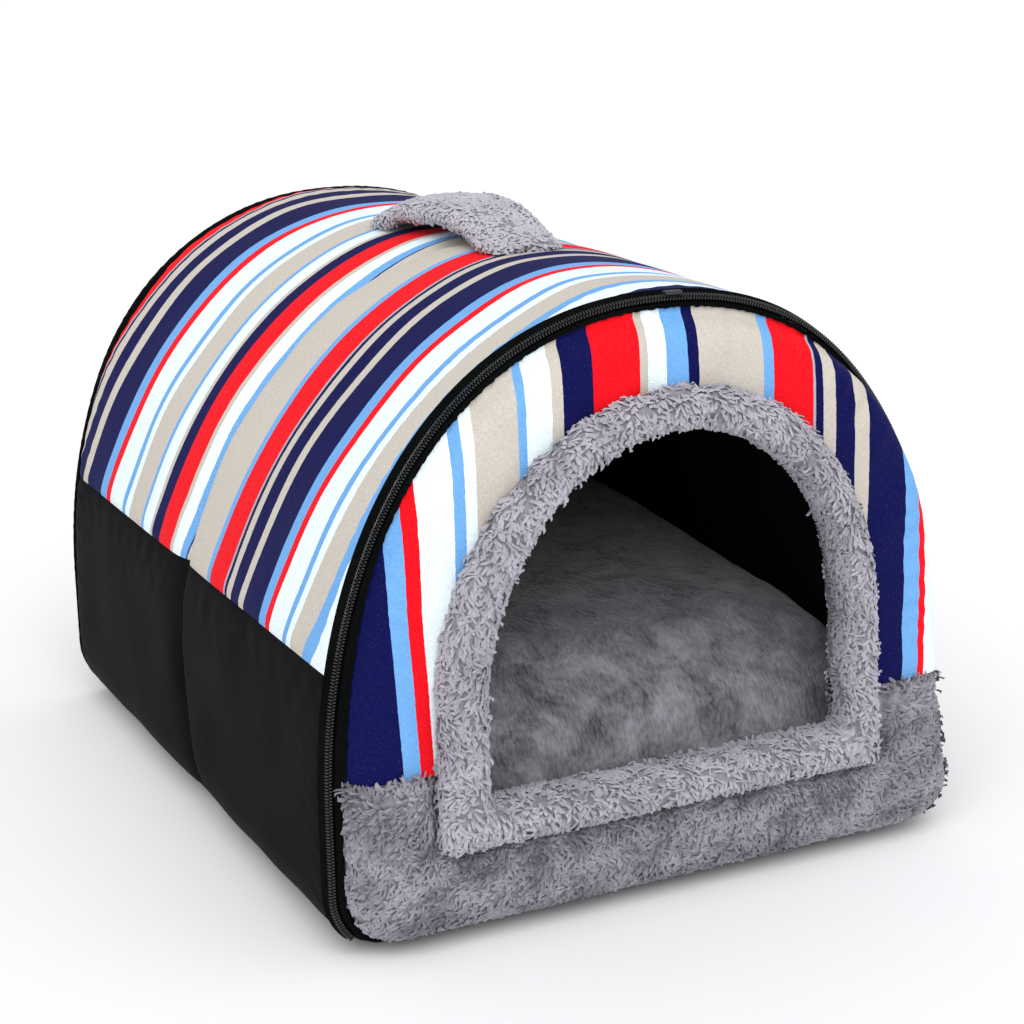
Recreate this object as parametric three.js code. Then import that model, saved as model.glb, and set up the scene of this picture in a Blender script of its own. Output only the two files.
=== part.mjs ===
// A padded, tunnel-shaped bed for a small dog. Millimetres, +Z up, the doorway faces -Y.
import * as THREE from 'three';
import { mergeVertices } from 'three/addons/utils/BufferGeometryUtils.js';

// The tunnel's outline, seen from the front
const WIDTH = 350;
const SPRING_HEIGHT = 74; // the straight sides end here and the arch begins
const ARCH_RISE = 226; // from the spring line to the ridge
const ARCH_POWER = 2.2; // 2 would be an ellipse, and more is squarer
const CORNER_RADIUS = 33; // of the two lower edges
const SEAM_HEIGHT = 139; // where the striped roof is sewn to the black sides
const HEM_ANGLE = 38; // how far round the lower corner the sides are sewn to the base

// Depths along Y
const TUNNEL_DEPTH = 410; // from the front arch to the back arch
const FRONT_REACH = 31; // how far the doorway trim stands in front of the front arch
const BACK_REACH = 12; // how far the back panel bulges behind the back arch
const TOTAL_DEPTH = TUNNEL_DEPTH + FRONT_REACH + BACK_REACH;
const FRONT = FRONT_REACH - TOTAL_DEPTH / 2; // the front arch lies in this plane
const BACK = TOTAL_DEPTH / 2 - BACK_REACH; // the back arch lies in this plane

// Cloth and padding
const WALL = 10; // padded walls
const SHEET = 1.7; // lining
const GAP = 0.3; // between neighbouring pieces
const END_CLEARANCE = 1; // the walls stop this far inside each arch plane
const CORD_RADIUS = 1.9; // zip coil and piping
const CORD_INSET = 1.2; // the cord's centre, inside the outline and ahead of the arch plane
const PANEL_MARGIN = CORD_INSET + CORD_RADIUS + GAP; // end panels start this far in
const TAPE = 1; // the zip's tape is this thick
const TAPE_LIFT = 0.4; // and lies this far over the cloth
const ROOF_TAPE_WIDTH = 4;
const COIL_END_ANGLE = 30; // the zip ends this far round the lower corners
const FOOT_ANGLE = 37.5; // the rolled edge under the skirt ends this far round them
const FOOT_DEPTH = 9; // of the rolled edge, behind the front arch
const LINING_FOOT_ANGLE = 30; // the lining ends this far round the lower corners, under the mat

// The doorway, a D with square lower corners. Offsets grow outwards from its edge.
const DOOR_HALF_WIDTH = 97;
const DOOR_TOP = 236;
const DOOR_SPRING = 118;
const DOOR_SILL = 74.5;
const TRIM_WIDTH = 28.5; // at the sides
const TRIM_TOP_SHARE = 0.9; // the trim is narrower over the arch
const TRIM_SILL_SHARE = 0.82; // and across the sill
const TRIM_WRAP = 12; // the part of the trim that passes through the front panel
const TRIM_INWARD = 2; // how far the trim passes behind the front arch
const TRIM_SEAT = 16.5; // the trim's band lies on the panel this far ahead of the arch
const SKIRT_HEIGHT = 90; // plush below, stripes above
const SKIRT_MARGIN = 6.3; // the plush starts this far inside the outline

// Mat, handle and zip slider
const MAT_HALF_WIDTH = 157;
const MAT_FRONT = FRONT + 9;
const MAT_BACK = BACK - 4;
const MAT_CORNER = 34;
const MAT_CORNER_SHRINK = 0.25; // of the inset, towards the crown
const MAT_SIDE_POINTS = [-0.62, -0.45, -0.2, 0.2, 0.6]; // shares of the half depth
const MAT_FLOOR = WALL + GAP;
const HANDLE_FRONT = FRONT + 133;
const HANDLE_BACK = FRONT + 263;
const HANDLE_HALF_WIDTH = 22;
const HANDLE_THICKNESS = 13.5;
const HANDLE_SKEW = 8; // the back end is sewn on this far to the left of the front end
const HANDLE_ROUNDING = 3; // of the underside's edges
const SLIDER_OFFSET = 8; // right of the ridge
const SLIDER_HALF_LENGTH = 4.5;
const SLIDER_LIFT = -0.1; // from the coil's outer face

// The front tape narrows from the floor to the ridge: how far in from the outline it reaches
const TAPE_REACH = [
  { height: 91.5, reach: 9 },
  { height: 155, reach: 7.8 },
  { height: 200, reach: 5.7 },
  { height: 300, reach: 5.2 },
];

const LEFT = -1;
const RIGHT = 1;

// One half of a padded wall, from an arch (along 0) to the fold at mid depth (along 1)
const WALL_PROFILE = [
  { along: 0.0, rise: -1.0 },
  { along: 0.03, rise: 0.5 },
  { along: 0.15, rise: 1.5 },
  { along: 0.5, rise: 1.6 },
  { along: 0.85, rise: 1.3 },
  { along: 0.955, rise: -0.6 },
  { along: 1.0, rise: -4.0 },
];

// The fold wanders: its distance behind the front arch at each height
const FOLD_PATH = [
  { height: 0, behind: 192 },
  { height: 30, behind: 193 },
  { height: 75, behind: 205 },
  { height: 125, behind: 206 },
  { height: 170, behind: 197 },
  { height: 215, behind: 184 },
  { height: 260, behind: 180 },
  { height: 310, behind: 182 },
];

// How far the front face stands ahead of the front arch, at each inset from the outline
const PANEL_PROFILE = [
  { inset: PANEL_MARGIN, ahead: 1.7 },
  { inset: 9.5, ahead: 3.0 },
  { inset: 11, ahead: 7.5 },
  { inset: 15, ahead: 11.5 },
  { inset: 22, ahead: 14.0 },
];
const SKIRT_PROFILE = [
  { inset: SKIRT_MARGIN, ahead: 5.0 },
  { inset: 8.5, ahead: 10.0 },
  { inset: 14, ahead: 15.5 },
  { inset: 24, ahead: 20.0 },
];
const PANEL_CROWN = 16; // the stripes' flat middle, ahead of the arch
const SKIRT_CROWN = 21; // the plush's flat middle
const TRIM_CLEARANCE = 2.5; // the plush swells from this far outside the trim's band
const SWELL = 5; // and reaches its full height over this length

// The doorway trim's section: offset from the doorway's edge, and distance ahead of the arch
const TRIM_SECTION = [
  { offset: 8, ahead: -TRIM_INWARD },
  { offset: 3, ahead: 5 },
  { offset: 0.5, ahead: 11 },
  { offset: 0, ahead: 19 },
  { offset: 3.5, ahead: 27 },
  { offset: 10, ahead: FRONT_REACH },
  { offset: 18.5, ahead: FRONT_REACH },
  { offset: 25, ahead: 27.5 },
  { offset: TRIM_WIDTH, ahead: 21 },
  { offset: TRIM_WIDTH, ahead: TRIM_SEAT },
  { offset: TRIM_WRAP, ahead: TRIM_SEAT },
  { offset: TRIM_WRAP, ahead: -TRIM_INWARD },
];

// The back panel's bulge: the outline shrunk towards its middle, and how far behind the arch
const BACK_PROFILE = [
  { scale: 1.0, behind: -END_CLEARANCE + GAP },
  { scale: 1.0, behind: 1.7 },
  { scale: 0.93, behind: 4.0 },
  { scale: 0.84, behind: 8.5 },
  { scale: 0.6, behind: 11.0 },
  { scale: 0.3, behind: BACK_REACH },
];
const BACK_MIDDLE = 140; // the height it shrinks towards

// The zip slider's section: along Y from the coil, and up from the outline
const SLIDER_SECTION = [
  [-2.6, 1.1],
  [-1.6, 2.6],
  [1.6, 2.6],
  [2.6, 1.1],
];

// The rolled edge under the skirt: how far behind the front arch, and how far in
const FOOT_SECTION = [
  { behind: END_CLEARANCE, inset: WALL },
  { behind: END_CLEARANCE, inset: 5.5 },
  { behind: 2.5, inset: 2.5 },
  { behind: 6, inset: GAP },
  { behind: FOOT_DEPTH, inset: GAP },
  { behind: FOOT_DEPTH, inset: WALL },
];

// The mat's top climbs steeply behind the doorway's sill, then slowly towards the back
const MAT_TOP = [
  { behind: 0, height: 82 },
  { behind: 14, height: 88 },
  { behind: 32, height: 101 },
  { behind: 60, height: 112 },
  { behind: 110, height: 115 },
  { behind: 200, height: 118 },
  { behind: 310, height: 122 },
];

// The mat from its underside to its crown: inset from its edge, and share of its height
const MAT_PROFILE = [
  { inset: 14, share: 0.0 },
  { inset: 9, share: 0.04 },
  { inset: 2, share: 0.25 },
  { inset: 0, share: 0.55 },
  { inset: 2, share: 0.81 },
  { inset: 8, share: 0.95 },
  { inset: 20, share: 0.995 },
  { inset: 55, share: 1.02 },
  { inset: 100, share: 1.035 },
];

// The handle from its front end to its back end: clearance over the outline and thickness
const HANDLE_PROFILE = [
  { along: 0.0, clear: 2.0, share: 0.45, width: 0.92 },
  { along: 0.08, clear: 2.0, share: 0.7, width: 1.0 },
  { along: 0.18, clear: 3.6, share: 0.95, width: 1.0 },
  { along: 0.3, clear: 7.7, share: 1.0, width: 1.0 },
  { along: 0.5, clear: 8.3, share: 1.0, width: 1.0 },
  { along: 0.7, clear: 7.7, share: 1.0, width: 1.0 },
  { along: 0.82, clear: 3.6, share: 0.9, width: 0.97 },
  { along: 0.92, clear: 2.0, share: 0.65, width: 0.85 },
  { along: 1.0, clear: 2.0, share: 0.4, width: 0.6 },
];

const COLOURS = {
  stripes: { color: 0xc9c3ba, roughness: 0.9 },
  oxford: { color: 0x242327, roughness: 0.8 },
  lining: { color: 0x18181b, roughness: 0.85 },
  plush: { color: 0x9a969e, roughness: 1.0 },
  matPlush: { color: 0x5c5a61, roughness: 1.0 },
  tape: { color: 0x17181a, roughness: 0.7 },
  coil: { color: 0x1c1c1e, roughness: 0.45 },
};

const radians = THREE.MathUtils.degToRad;

// A value between the rows of a table, read off in straight lines
function lookUp(table, key, value, at) {
  const next = table.findIndex((row) => row[key] >= at);
  if (next === 0) return table[0][value];
  if (next < 0) return table[table.length - 1][value];
  const [low, high] = [table[next - 1], table[next]];
  const share = (at - low[key]) / (high[key] - low[key]);
  return THREE.MathUtils.lerp(low[value], high[value], share);
}

// A closed solid swept through stations. Each station's section is a closed loop of pairs.
function sweep(stations, sectionAt, placeAt, closed = false) {
  const sections = stations.map(sectionAt);
  const size = sections[0].length;
  const corners = sections.flatMap((section, i) => section.map((pair) => placeAt(stations[i], ...pair)));
  const faces = [];
  const spans = closed ? stations.length : stations.length - 1;
  for (let i = 0; i < spans; i++) {
    const here = i * size;
    const there = ((i + 1) % stations.length) * size;
    for (let k = 0; k < size; k++) {
      const next = (k + 1) % size;
      faces.push([here + k, there + k, there + next], [here + k, there + next, here + next]);
    }
  }
  if (!closed) {
    const last = (stations.length - 1) * size;
    faces.push(...capFaces(sections[0], 0, false), ...capFaces(sections.at(-1), last, true));
  }
  return solid(corners, faces);
}

// Triangles that close one end of a sweep, turned to match its sides
function capFaces(section, start, isLast) {
  const loop = section.map(([a, b]) => new THREE.Vector2(a, b));
  const clockwise = THREE.ShapeUtils.isClockWise(loop);
  return THREE.ShapeUtils.triangulateShape(loop, []).map((face) => {
    const [a, b, c] = face.map((corner) => start + corner);
    return clockwise === isLast ? [a, b, c] : [a, c, b];
  });
}

// A geometry from corners and faces, with its faces pointing out
function solid(corners, faces) {
  const points = corners.map((corner) => new THREE.Vector3(...corner));
  const volume = faces.reduce((sum, [a, b, c]) => {
    return sum + points[a].dot(new THREE.Vector3().crossVectors(points[b], points[c]));
  }, 0);
  const outward = volume > 0 ? faces : faces.map(([a, b, c]) => [a, c, b]);
  const geometry = new THREE.BufferGeometry();
  geometry.setAttribute('position', new THREE.Float32BufferAttribute(corners.flat(), 3));
  geometry.setIndex(outward.flat());
  const merged = mergeVertices(geometry, 1e-4);
  merged.computeVertexNormals();
  return merged;
}

// Stations on the outline: a point and the direction that points away from the tunnel
function cornerStation(side, degrees) {
  const angle = radians(degrees);
  const outX = side * Math.sin(angle);
  const outZ = -Math.cos(angle);
  const centreX = side * (WIDTH / 2 - CORNER_RADIUS);
  return { x: centreX + CORNER_RADIUS * outX, z: CORNER_RADIUS + CORNER_RADIUS * outZ, outX, outZ };
}

function sideStation(side, z) {
  return { x: (side * WIDTH) / 2, z, outX: side, outZ: 0 };
}

// Stations on the arch, by distance from the middle, by angle or by height
function archStation(x, rise) {
  const across = Math.abs(x) / (WIDTH / 2);
  const up = rise / ARCH_RISE;
  const slopeX = (Math.sign(x) * across ** (ARCH_POWER - 1)) / (WIDTH / 2);
  const slopeZ = up ** (ARCH_POWER - 1) / ARCH_RISE;
  const length = Math.hypot(slopeX, slopeZ);
  return { x, z: SPRING_HEIGHT + rise, outX: slopeX / length, outZ: slopeZ / length };
}

function archAtAngle(degrees) {
  const angle = radians(degrees);
  const power = 2 / ARCH_POWER;
  const across = degrees === 90 ? 0 : Math.cos(angle);
  const x = (-Math.sign(across) * Math.abs(across) ** power * WIDTH) / 2;
  return archStation(x, Math.sin(angle) ** power * ARCH_RISE);
}

function archAtHeight(side, z) {
  const rise = z - SPRING_HEIGHT;
  const across = (1 - (rise / ARCH_RISE) ** ARCH_POWER) ** (1 / ARCH_POWER);
  return archStation((side * across * WIDTH) / 2, rise);
}

function range(from, to, steps) {
  return Array.from({ length: steps + 1 }, (_, i) => THREE.MathUtils.lerp(from, to, i / steps));
}

const ARCH_STEPS = 36;
const archStations = range(0, 180, ARCH_STEPS).slice(1, -1).map(archAtAngle);

// The left-hand half from the base centre upwards; the right-hand half is its mirror
function lowerStations(side) {
  const corner = range(0, 90, 6).map((degrees) => cornerStation(side, degrees));
  const middle = (CORNER_RADIUS + SPRING_HEIGHT) / 2;
  return [...corner, sideStation(side, middle), sideStation(side, SPRING_HEIGHT)];
}

function mirrored(stations) {
  return stations.map((s) => ({ ...s, x: -s.x, outX: -s.outX })).reverse();
}

function between(stations, low, high) {
  return stations.filter((s) => s.z > low + 1 && s.z < high - 1);
}

// The whole outline from the base's middle, up the left, over the ridge and down the right
const leftHalf = lowerStations(LEFT);
const outline = [...leftHalf, ...archStations, ...mirrored(leftHalf)];

function inset(station, distance) {
  return [station.x - station.outX * distance, station.z - station.outZ * distance];
}

// Padded walls
function foldAt(height) {
  return FRONT + lookUp(FOLD_PATH, 'height', 'behind', height);
}

function wallSection(station) {
  const fold = foldAt(station.z);
  const front = FRONT + END_CLEARANCE;
  const back = BACK - END_CLEARANCE;
  const lift = (rise) => (station.edge ? Math.min(rise, 0) - 1 : rise);
  const ahead = WALL_PROFILE.map((row) => [THREE.MathUtils.lerp(front, fold, row.along), lift(row.rise)]);
  const behind = WALL_PROFILE.map((row) => [THREE.MathUtils.lerp(back, fold, row.along), lift(row.rise)]);
  const outer = [...ahead, ...behind.slice(0, -1).reverse()];
  return [...outer, [back, -WALL], [fold, -WALL], [front, -WALL]];
}

function onWall(station, y, lift) {
  const [x, z] = inset(station, -lift);
  return [x, y, z];
}

function edge(station) {
  return { ...station, edge: true };
}

const SEAM_ROLL = 4; // the padding rounds off over this height beside a seam
const HEM_ROLL = 5.3; // degrees of the lower corner that stay flat beside the hem
const HEM_GAP = 0.3; // degrees
const HEM_LIFT = -1.2; // the padding of the base draws in this far at the hem

function roofGeometry() {
  const low = SEAM_HEIGHT + GAP / 2;
  const arch = between(archStations, low + SEAM_ROLL, Infinity);
  const left = [edge(archAtHeight(LEFT, low)), archAtHeight(LEFT, low + SEAM_ROLL)];
  return sweep([...left, ...arch, ...mirrored(left)], wallSection, onWall);
}

function sideGeometry(side) {
  const high = SEAM_HEIGHT - GAP / 2;
  const hem = [HEM_GAP, HEM_ROLL].map((degrees) => edge(cornerStation(side, HEM_ANGLE + degrees)));
  const onThisSide = [...lowerStations(side), ...archStations.filter((s) => s.x * side > 0)];
  const middle = between(onThisSide, hem[1].z, high - SEAM_ROLL).sort((a, b) => a.z - b.z);
  const seam = [archAtHeight(side, high - SEAM_ROLL), edge(archAtHeight(side, high))];
  return sweep([...hem, ...middle, ...seam], wallSection, onWall);
}

function baseGeometry() {
  const front = FRONT + FOOT_DEPTH + GAP;
  const back = BACK - END_CLEARANCE;
  const section = (station) => {
    const lift = station.edge ? HEM_LIFT : 0;
    return [[front, lift], [back, lift], [back, -WALL], [front, -WALL]];
  };
  const hem = [HEM_GAP, HEM_ROLL].map((degrees) => edge(cornerStation(LEFT, HEM_ANGLE - degrees)));
  const corner = leftHalf.filter((s) => s.z < hem[1].z - 1).reverse();
  const left = [...hem, ...corner];
  return sweep([...left, ...mirrored(left)], section, onWall);
}

function liningGeometry() {
  const front = FRONT + END_CLEARANCE;
  const back = BACK - END_CLEARANCE;
  const near = -WALL - 1.5 * GAP;
  const section = () => [[front, near], [back, near], [back, near - SHEET], [front, near - SHEET]];
  const foot = cornerStation(LEFT, LINING_FOOT_ANGLE).z;
  return sweep(outline.filter((s) => s.z > foot - 1), section, onWall);
}

// Cords along the edges, flattened where they touch the floor
function cordSection() {
  return range(0, 300, 5).map((degrees) => {
    const angle = radians(degrees);
    return [CORD_RADIUS * Math.cos(angle), CORD_RADIUS * Math.sin(angle)];
  });
}

function cordAlong(stations, y, closed = false) {
  const place = (station, out, along) => {
    const [x, z] = inset(station, CORD_INSET - out);
    return [x, y + along, Math.max(z, GAP)];
  };
  return sweep(stations, cordSection, place, closed);
}

function coilGeometry() {
  const end = cornerStation(LEFT, COIL_END_ANGLE);
  const left = [end, ...leftHalf.filter((s) => s.z > end.z + 0.5)];
  return cordAlong([...left, ...archStations, ...mirrored(left)], FRONT - CORD_INSET);
}

function frontBindingGeometry() {
  const end = cornerStation(LEFT, FOOT_ANGLE);
  const left = [end, ...leftHalf.filter((s) => s.z < end.z - 0.5).reverse()];
  const section = () => FOOT_SECTION.map((row) => [FRONT + row.behind, -row.inset]);
  return sweep([...left, ...mirrored(left)], section, onWall);
}

function backBindingGeometry() {
  return cordAlong(outline, BACK + CORD_INSET, true);
}

// The hem binding: degrees of the lower corner on each side of the hem, and lift
const HEM_BINDING = [
  [-4.5, -0.6],
  [-2.7, 1.2],
  [2.7, 1.2],
  [4.5, -0.6],
];
const HEM_BINDING_MARGIN = 2.5; // at each end

function sideBindingGeometry(side) {
  const place = (y, degrees, lift) => onWall(cornerStation(side, HEM_ANGLE + degrees), y, lift);
  const along = range(FRONT + FOOT_DEPTH + GAP, BACK - HEM_BINDING_MARGIN, 8);
  return sweep(along, () => HEM_BINDING, place);
}

// The front: spokes run from the doorway's edge to the outline
function doorPoint(degrees, offset) {
  const angle = radians(degrees);
  const rise = DOOR_TOP + offset * TRIM_TOP_SHARE - DOOR_SPRING;
  return [-(DOOR_HALF_WIDTH + offset) * Math.cos(angle), DOOR_SPRING + rise * Math.sin(angle)];
}

function sillHeight(offset) {
  return DOOR_SILL - offset * TRIM_SILL_SHARE;
}

// Shares of the way along a run of stations, by length
function shares(stations) {
  const lengths = [0];
  for (let i = 1; i < stations.length; i++) {
    const step = Math.hypot(stations[i].x - stations[i - 1].x, stations[i].z - stations[i - 1].z);
    lengths.push(lengths[i - 1] + step);
  }
  return lengths.map((length) => length / lengths.at(-1));
}

const HOLE = TRIM_WRAP + 2 * GAP; // the panel's hole, outside the trim's wrap
const HOLE_HALF_WIDTH = DOOR_HALF_WIDTH + HOLE;

// The hole's edge from the skirt's height on the left, over the arch, to the same on the right
function holeCurve(from) {
  const curve = new THREE.CurvePath();
  const rise = doorPoint(90, HOLE)[1] - DOOR_SPRING;
  const point = (x, z) => new THREE.Vector2(x, z);
  curve.add(new THREE.LineCurve(point(-HOLE_HALF_WIDTH, from), point(-HOLE_HALF_WIDTH, DOOR_SPRING)));
  curve.add(new THREE.EllipseCurve(0, DOOR_SPRING, HOLE_HALF_WIDTH, rise, Math.PI, 0, true));
  curve.add(new THREE.LineCurve(point(HOLE_HALF_WIDTH, DOOR_SPRING), point(HOLE_HALF_WIDTH, from)));
  return curve;
}

function spokes(stations, margin, holeAt) {
  const along = shares(stations);
  return stations.map((station, i) => {
    const near = new THREE.Vector2(...holeAt(along[i]));
    const far = new THREE.Vector2(...inset(station, margin));
    return { near, far, length: near.distanceTo(far) };
  });
}

// How far along a spoke the trim's band reaches
function bandReach(spoke) {
  const reach = TRIM_WIDTH + TRIM_CLEARANCE;
  const direction = spoke.far.clone().sub(spoke.near).divideScalar(spoke.length);
  const across = (DOOR_HALF_WIDTH + reach - Math.abs(spoke.near.x)) / Math.abs(direction.x);
  const down = direction.y < 0 ? (sillHeight(reach) - spoke.near.y) / direction.y : Infinity;
  return Math.min(across, down);
}

function faceSection(profile, crown, reachOf) {
  const margin = profile[0].inset;
  return (spoke) => {
    const rim = profile.map((row) => [spoke.length - (row.inset - margin), row.ahead]);
    const reach = reachOf(spoke);
    const beside = [[0, PANEL_CROWN], [reach, PANEL_CROWN], [reach + SWELL, crown]];
    const back = -END_CLEARANCE + GAP;
    return [[0, back], ...beside, ...rim.reverse(), [spoke.length, back]];
  };
}

function onSpoke(spoke, distance, ahead) {
  const point = spoke.near.clone().lerp(spoke.far, distance / spoke.length);
  return [point.x, FRONT - ahead, point.y];
}

function frontPanelGeometry() {
  const low = SKIRT_HEIGHT + GAP / 2;
  const ends = [archAtHeight(LEFT, low), archAtHeight(RIGHT, low)];
  const stations = [ends[0], ...between(archStations, low + 3, Infinity), ends[1]];
  const curve = holeCurve(low);
  const hole = (share) => curve.getPoint(share).toArray();
  const panel = spokes(stations, PANEL_MARGIN, hole);
  panel[0].far.y = low;
  panel.at(-1).far.y = low;
  return sweep(panel, faceSection(PANEL_PROFILE, PANEL_CROWN, () => TRIM_WIDTH - TRIM_WRAP), onSpoke);
}

const SKIRT_TURN = 45; // degrees round the lower corner, where the spokes turn to the sill
const NEAR = 0.1;

function skirtGeometry() {
  const high = SKIRT_HEIGHT - GAP / 2;
  const sill = sillHeight(HOLE);
  const turn = cornerStation(LEFT, SKIRT_TURN).z;
  const isAbove = (s) => s.z > turn - NEAR && s.z < high - 3;
  const top = archAtHeight(LEFT, high);
  const descending = [top, ...leftHalf.filter(isAbove).reverse()];
  const bottom = leftHalf.filter((s) => s.z < turn + NEAR).reverse();
  const across = [...bottom, ...mirrored(bottom)];
  const down = (share) => [-HOLE_HALF_WIDTH, THREE.MathUtils.lerp(high, sill, share)];
  const left = spokes(descending, SKIRT_MARGIN, down);
  left[0].far.y = high;
  const alongSill = (share) => [THREE.MathUtils.lerp(-1, 1, share) * HOLE_HALF_WIDTH, sill];
  const middle = spokes(across, SKIRT_MARGIN, alongSill);
  const right = left.map((spoke) => ({
    near: new THREE.Vector2(-spoke.near.x, spoke.near.y),
    far: new THREE.Vector2(-spoke.far.x, spoke.far.y),
    length: spoke.length,
  }));
  const all = [...left.slice(0, -1), ...middle, ...right.reverse().slice(1)];
  return sweep(all, faceSection(SKIRT_PROFILE, SKIRT_CROWN, bandReach), onSpoke);
}

// The trim is a closed loop: sill from right to left, up the left side, over and down
function trimGeometry() {
  const arch = range(0, 180, 30).map((degrees) => (offset) => doorPoint(degrees, offset));
  const cornerOf = (side) => (offset) => [side * (DOOR_HALF_WIDTH + offset), sillHeight(offset)];
  const onSill = (share) => (offset) => [share * (DOOR_HALF_WIDTH + offset), sillHeight(offset)];
  const sill = [0.5, 0, -0.5].map(onSill);
  const stations = [cornerOf(RIGHT), ...sill, cornerOf(LEFT), ...arch];
  const section = () => TRIM_SECTION.map((row) => [row.offset, row.ahead]);
  const place = (station, offset, ahead) => {
    const [x, z] = station(offset);
    return [x, FRONT - ahead, z];
  };
  return sweep(stations, section, place, true);
}

// The zip's tape lies on the margin of the striped panel, and narrows beside the plush
function tapeGeometry() {
  const end = cornerStation(LEFT, COIL_END_ANGLE + 4);
  const left = [end, ...leftHalf.filter((s) => s.z > end.z + 0.5)];
  const skirtTop = [archAtHeight(LEFT, SKIRT_HEIGHT + GAP), archAtHeight(LEFT, TAPE_REACH[0].height)];
  const low = [...left, ...skirtTop];
  const arch = between(archStations, TAPE_REACH[0].height + 1.5, Infinity);
  const section = (station) => {
    const isBeside = station.z < TAPE_REACH[0].height - NEAR;
    const far = isBeside ? SKIRT_MARGIN - GAP : lookUp(TAPE_REACH, 'height', 'reach', station.z);
    const near = lookUp(PANEL_PROFILE, 'inset', 'ahead', PANEL_MARGIN) + TAPE_LIFT;
    const reach = lookUp(PANEL_PROFILE, 'inset', 'ahead', far) + TAPE_LIFT;
    return [[PANEL_MARGIN, near], [far, reach], [far, reach + TAPE], [PANEL_MARGIN, near + TAPE]];
  };
  const place = (station, distance, ahead) => {
    const [x, z] = inset(station, distance);
    return [x, FRONT - ahead, z];
  };
  return sweep([...low, ...arch, ...mirrored(low)], section, place);
}

// The other half of the tape lies on the front margin of the roof and the sides
function roofTapeGeometry() {
  const end = cornerStation(LEFT, HEM_ANGLE + HEM_ROLL + 1);
  const left = [end, ...leftHalf.filter((s) => s.z > end.z + 0.5)];
  const front = FRONT + END_CLEARANCE;
  const section = (station) => [0, ROOF_TAPE_WIDTH].map((y) => {
    const along = y / (foldAt(station.z) - front);
    return [front + y, lookUp(WALL_PROFILE, 'along', 'rise', along) + TAPE_LIFT];
  });
  const thick = (station) => {
    const under = section(station);
    return [...under, ...under.map(([y, lift]) => [y, lift + TAPE]).reverse()];
  };
  return sweep([...left, ...archStations, ...mirrored(left)], thick, onWall);
}

function sliderGeometry() {
  const stations = range(SLIDER_OFFSET - SLIDER_HALF_LENGTH, SLIDER_OFFSET + SLIDER_HALF_LENGTH, 3);
  const place = (x, along, lift) => {
    const rise = (1 - (x / (WIDTH / 2)) ** ARCH_POWER) ** (1 / ARCH_POWER) * ARCH_RISE;
    const [px, pz] = inset(archStation(x, rise), -SLIDER_LIFT - lift);
    return [px, FRONT - CORD_INSET + along, pz];
  };
  return sweep(stations, () => SLIDER_SECTION, place);
}

function backGeometry() {
  const section = (row) => outline.map((station) => {
    const [x, z] = inset(station, PANEL_MARGIN);
    return [x * row.scale, BACK_MIDDLE + (z - BACK_MIDDLE) * row.scale];
  });
  return sweep(BACK_PROFILE, section, (row, x, z) => [x, BACK + row.behind, z]);
}

// The mat is a rounded oblong in plan, lower at the doorway
function matPlan(margin) {
  const radius = MAT_CORNER - margin * MAT_CORNER_SHRINK;
  const halfX = MAT_HALF_WIDTH - margin;
  const halfY = (MAT_BACK - MAT_FRONT) / 2 - margin;
  const corner = range(0, 90, 5).map(radians).map((angle) => {
    return [halfX - radius + radius * Math.cos(angle), halfY - radius + radius * Math.sin(angle)];
  });
  const flipped = (points, signX, signY) => points.map(([x, y]) => [x * signX, y * signY]);
  const side = MAT_SIDE_POINTS.map((share) => [halfX, halfY * share]);
  const rightHalf = [...flipped(corner, 1, -1).reverse(), ...side, ...corner];
  const plan = [...rightHalf, ...flipped(rightHalf, -1, 1).reverse()];
  return plan.map(([x, y]) => [x, y + (MAT_FRONT + MAT_BACK) / 2]);
}

function matGeometry() {
  const place = (row, x, y) => {
    const top = lookUp(MAT_TOP, 'behind', 'height', y - MAT_FRONT);
    return [x, y, THREE.MathUtils.lerp(MAT_FLOOR, top, row.share)];
  };
  return sweep(MAT_PROFILE, (row) => matPlan(row.inset), place);
}

// The right half of the handle's section: inset from its edge, and share of its thickness
const HANDLE_EDGE = [
  [HANDLE_ROUNDING, 0],
  [0, 0.3],
  [0, 0.62],
  [5, 0.93],
];

// The handle follows the ridge; its section is measured across and up from the outline
function handleGeometry() {
  const section = (row) => {
    const half = HANDLE_HALF_WIDTH * row.width;
    const right = HANDLE_EDGE.map(([inwards, share]) => [half - inwards, share]);
    const left = right.map(([across, share]) => [-across, share]).reverse();
    const thick = HANDLE_THICKNESS * row.share;
    return [[0, 0], ...right, [0, 1], ...left].map(([across, share]) => [across, row.clear + share * thick]);
  };
  const place = (row, across, lift) => {
    const x = across + HANDLE_SKEW * (0.5 - row.along) - HANDLE_SKEW / 2;
    const rise = (1 - (Math.abs(x) / (WIDTH / 2)) ** ARCH_POWER) ** (1 / ARCH_POWER) * ARCH_RISE;
    return [x, THREE.MathUtils.lerp(HANDLE_FRONT, HANDLE_BACK, row.along), SPRING_HEIGHT + rise + lift];
  };
  return sweep(HANDLE_PROFILE, section, place);
}

const bed = new THREE.Group();

function add(name, geometry, { color, roughness }) {
  const mesh = new THREE.Mesh(geometry, new THREE.MeshStandardMaterial({ color, roughness, metalness: 0 }));
  mesh.name = name;
  bed.add(mesh);
}

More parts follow.
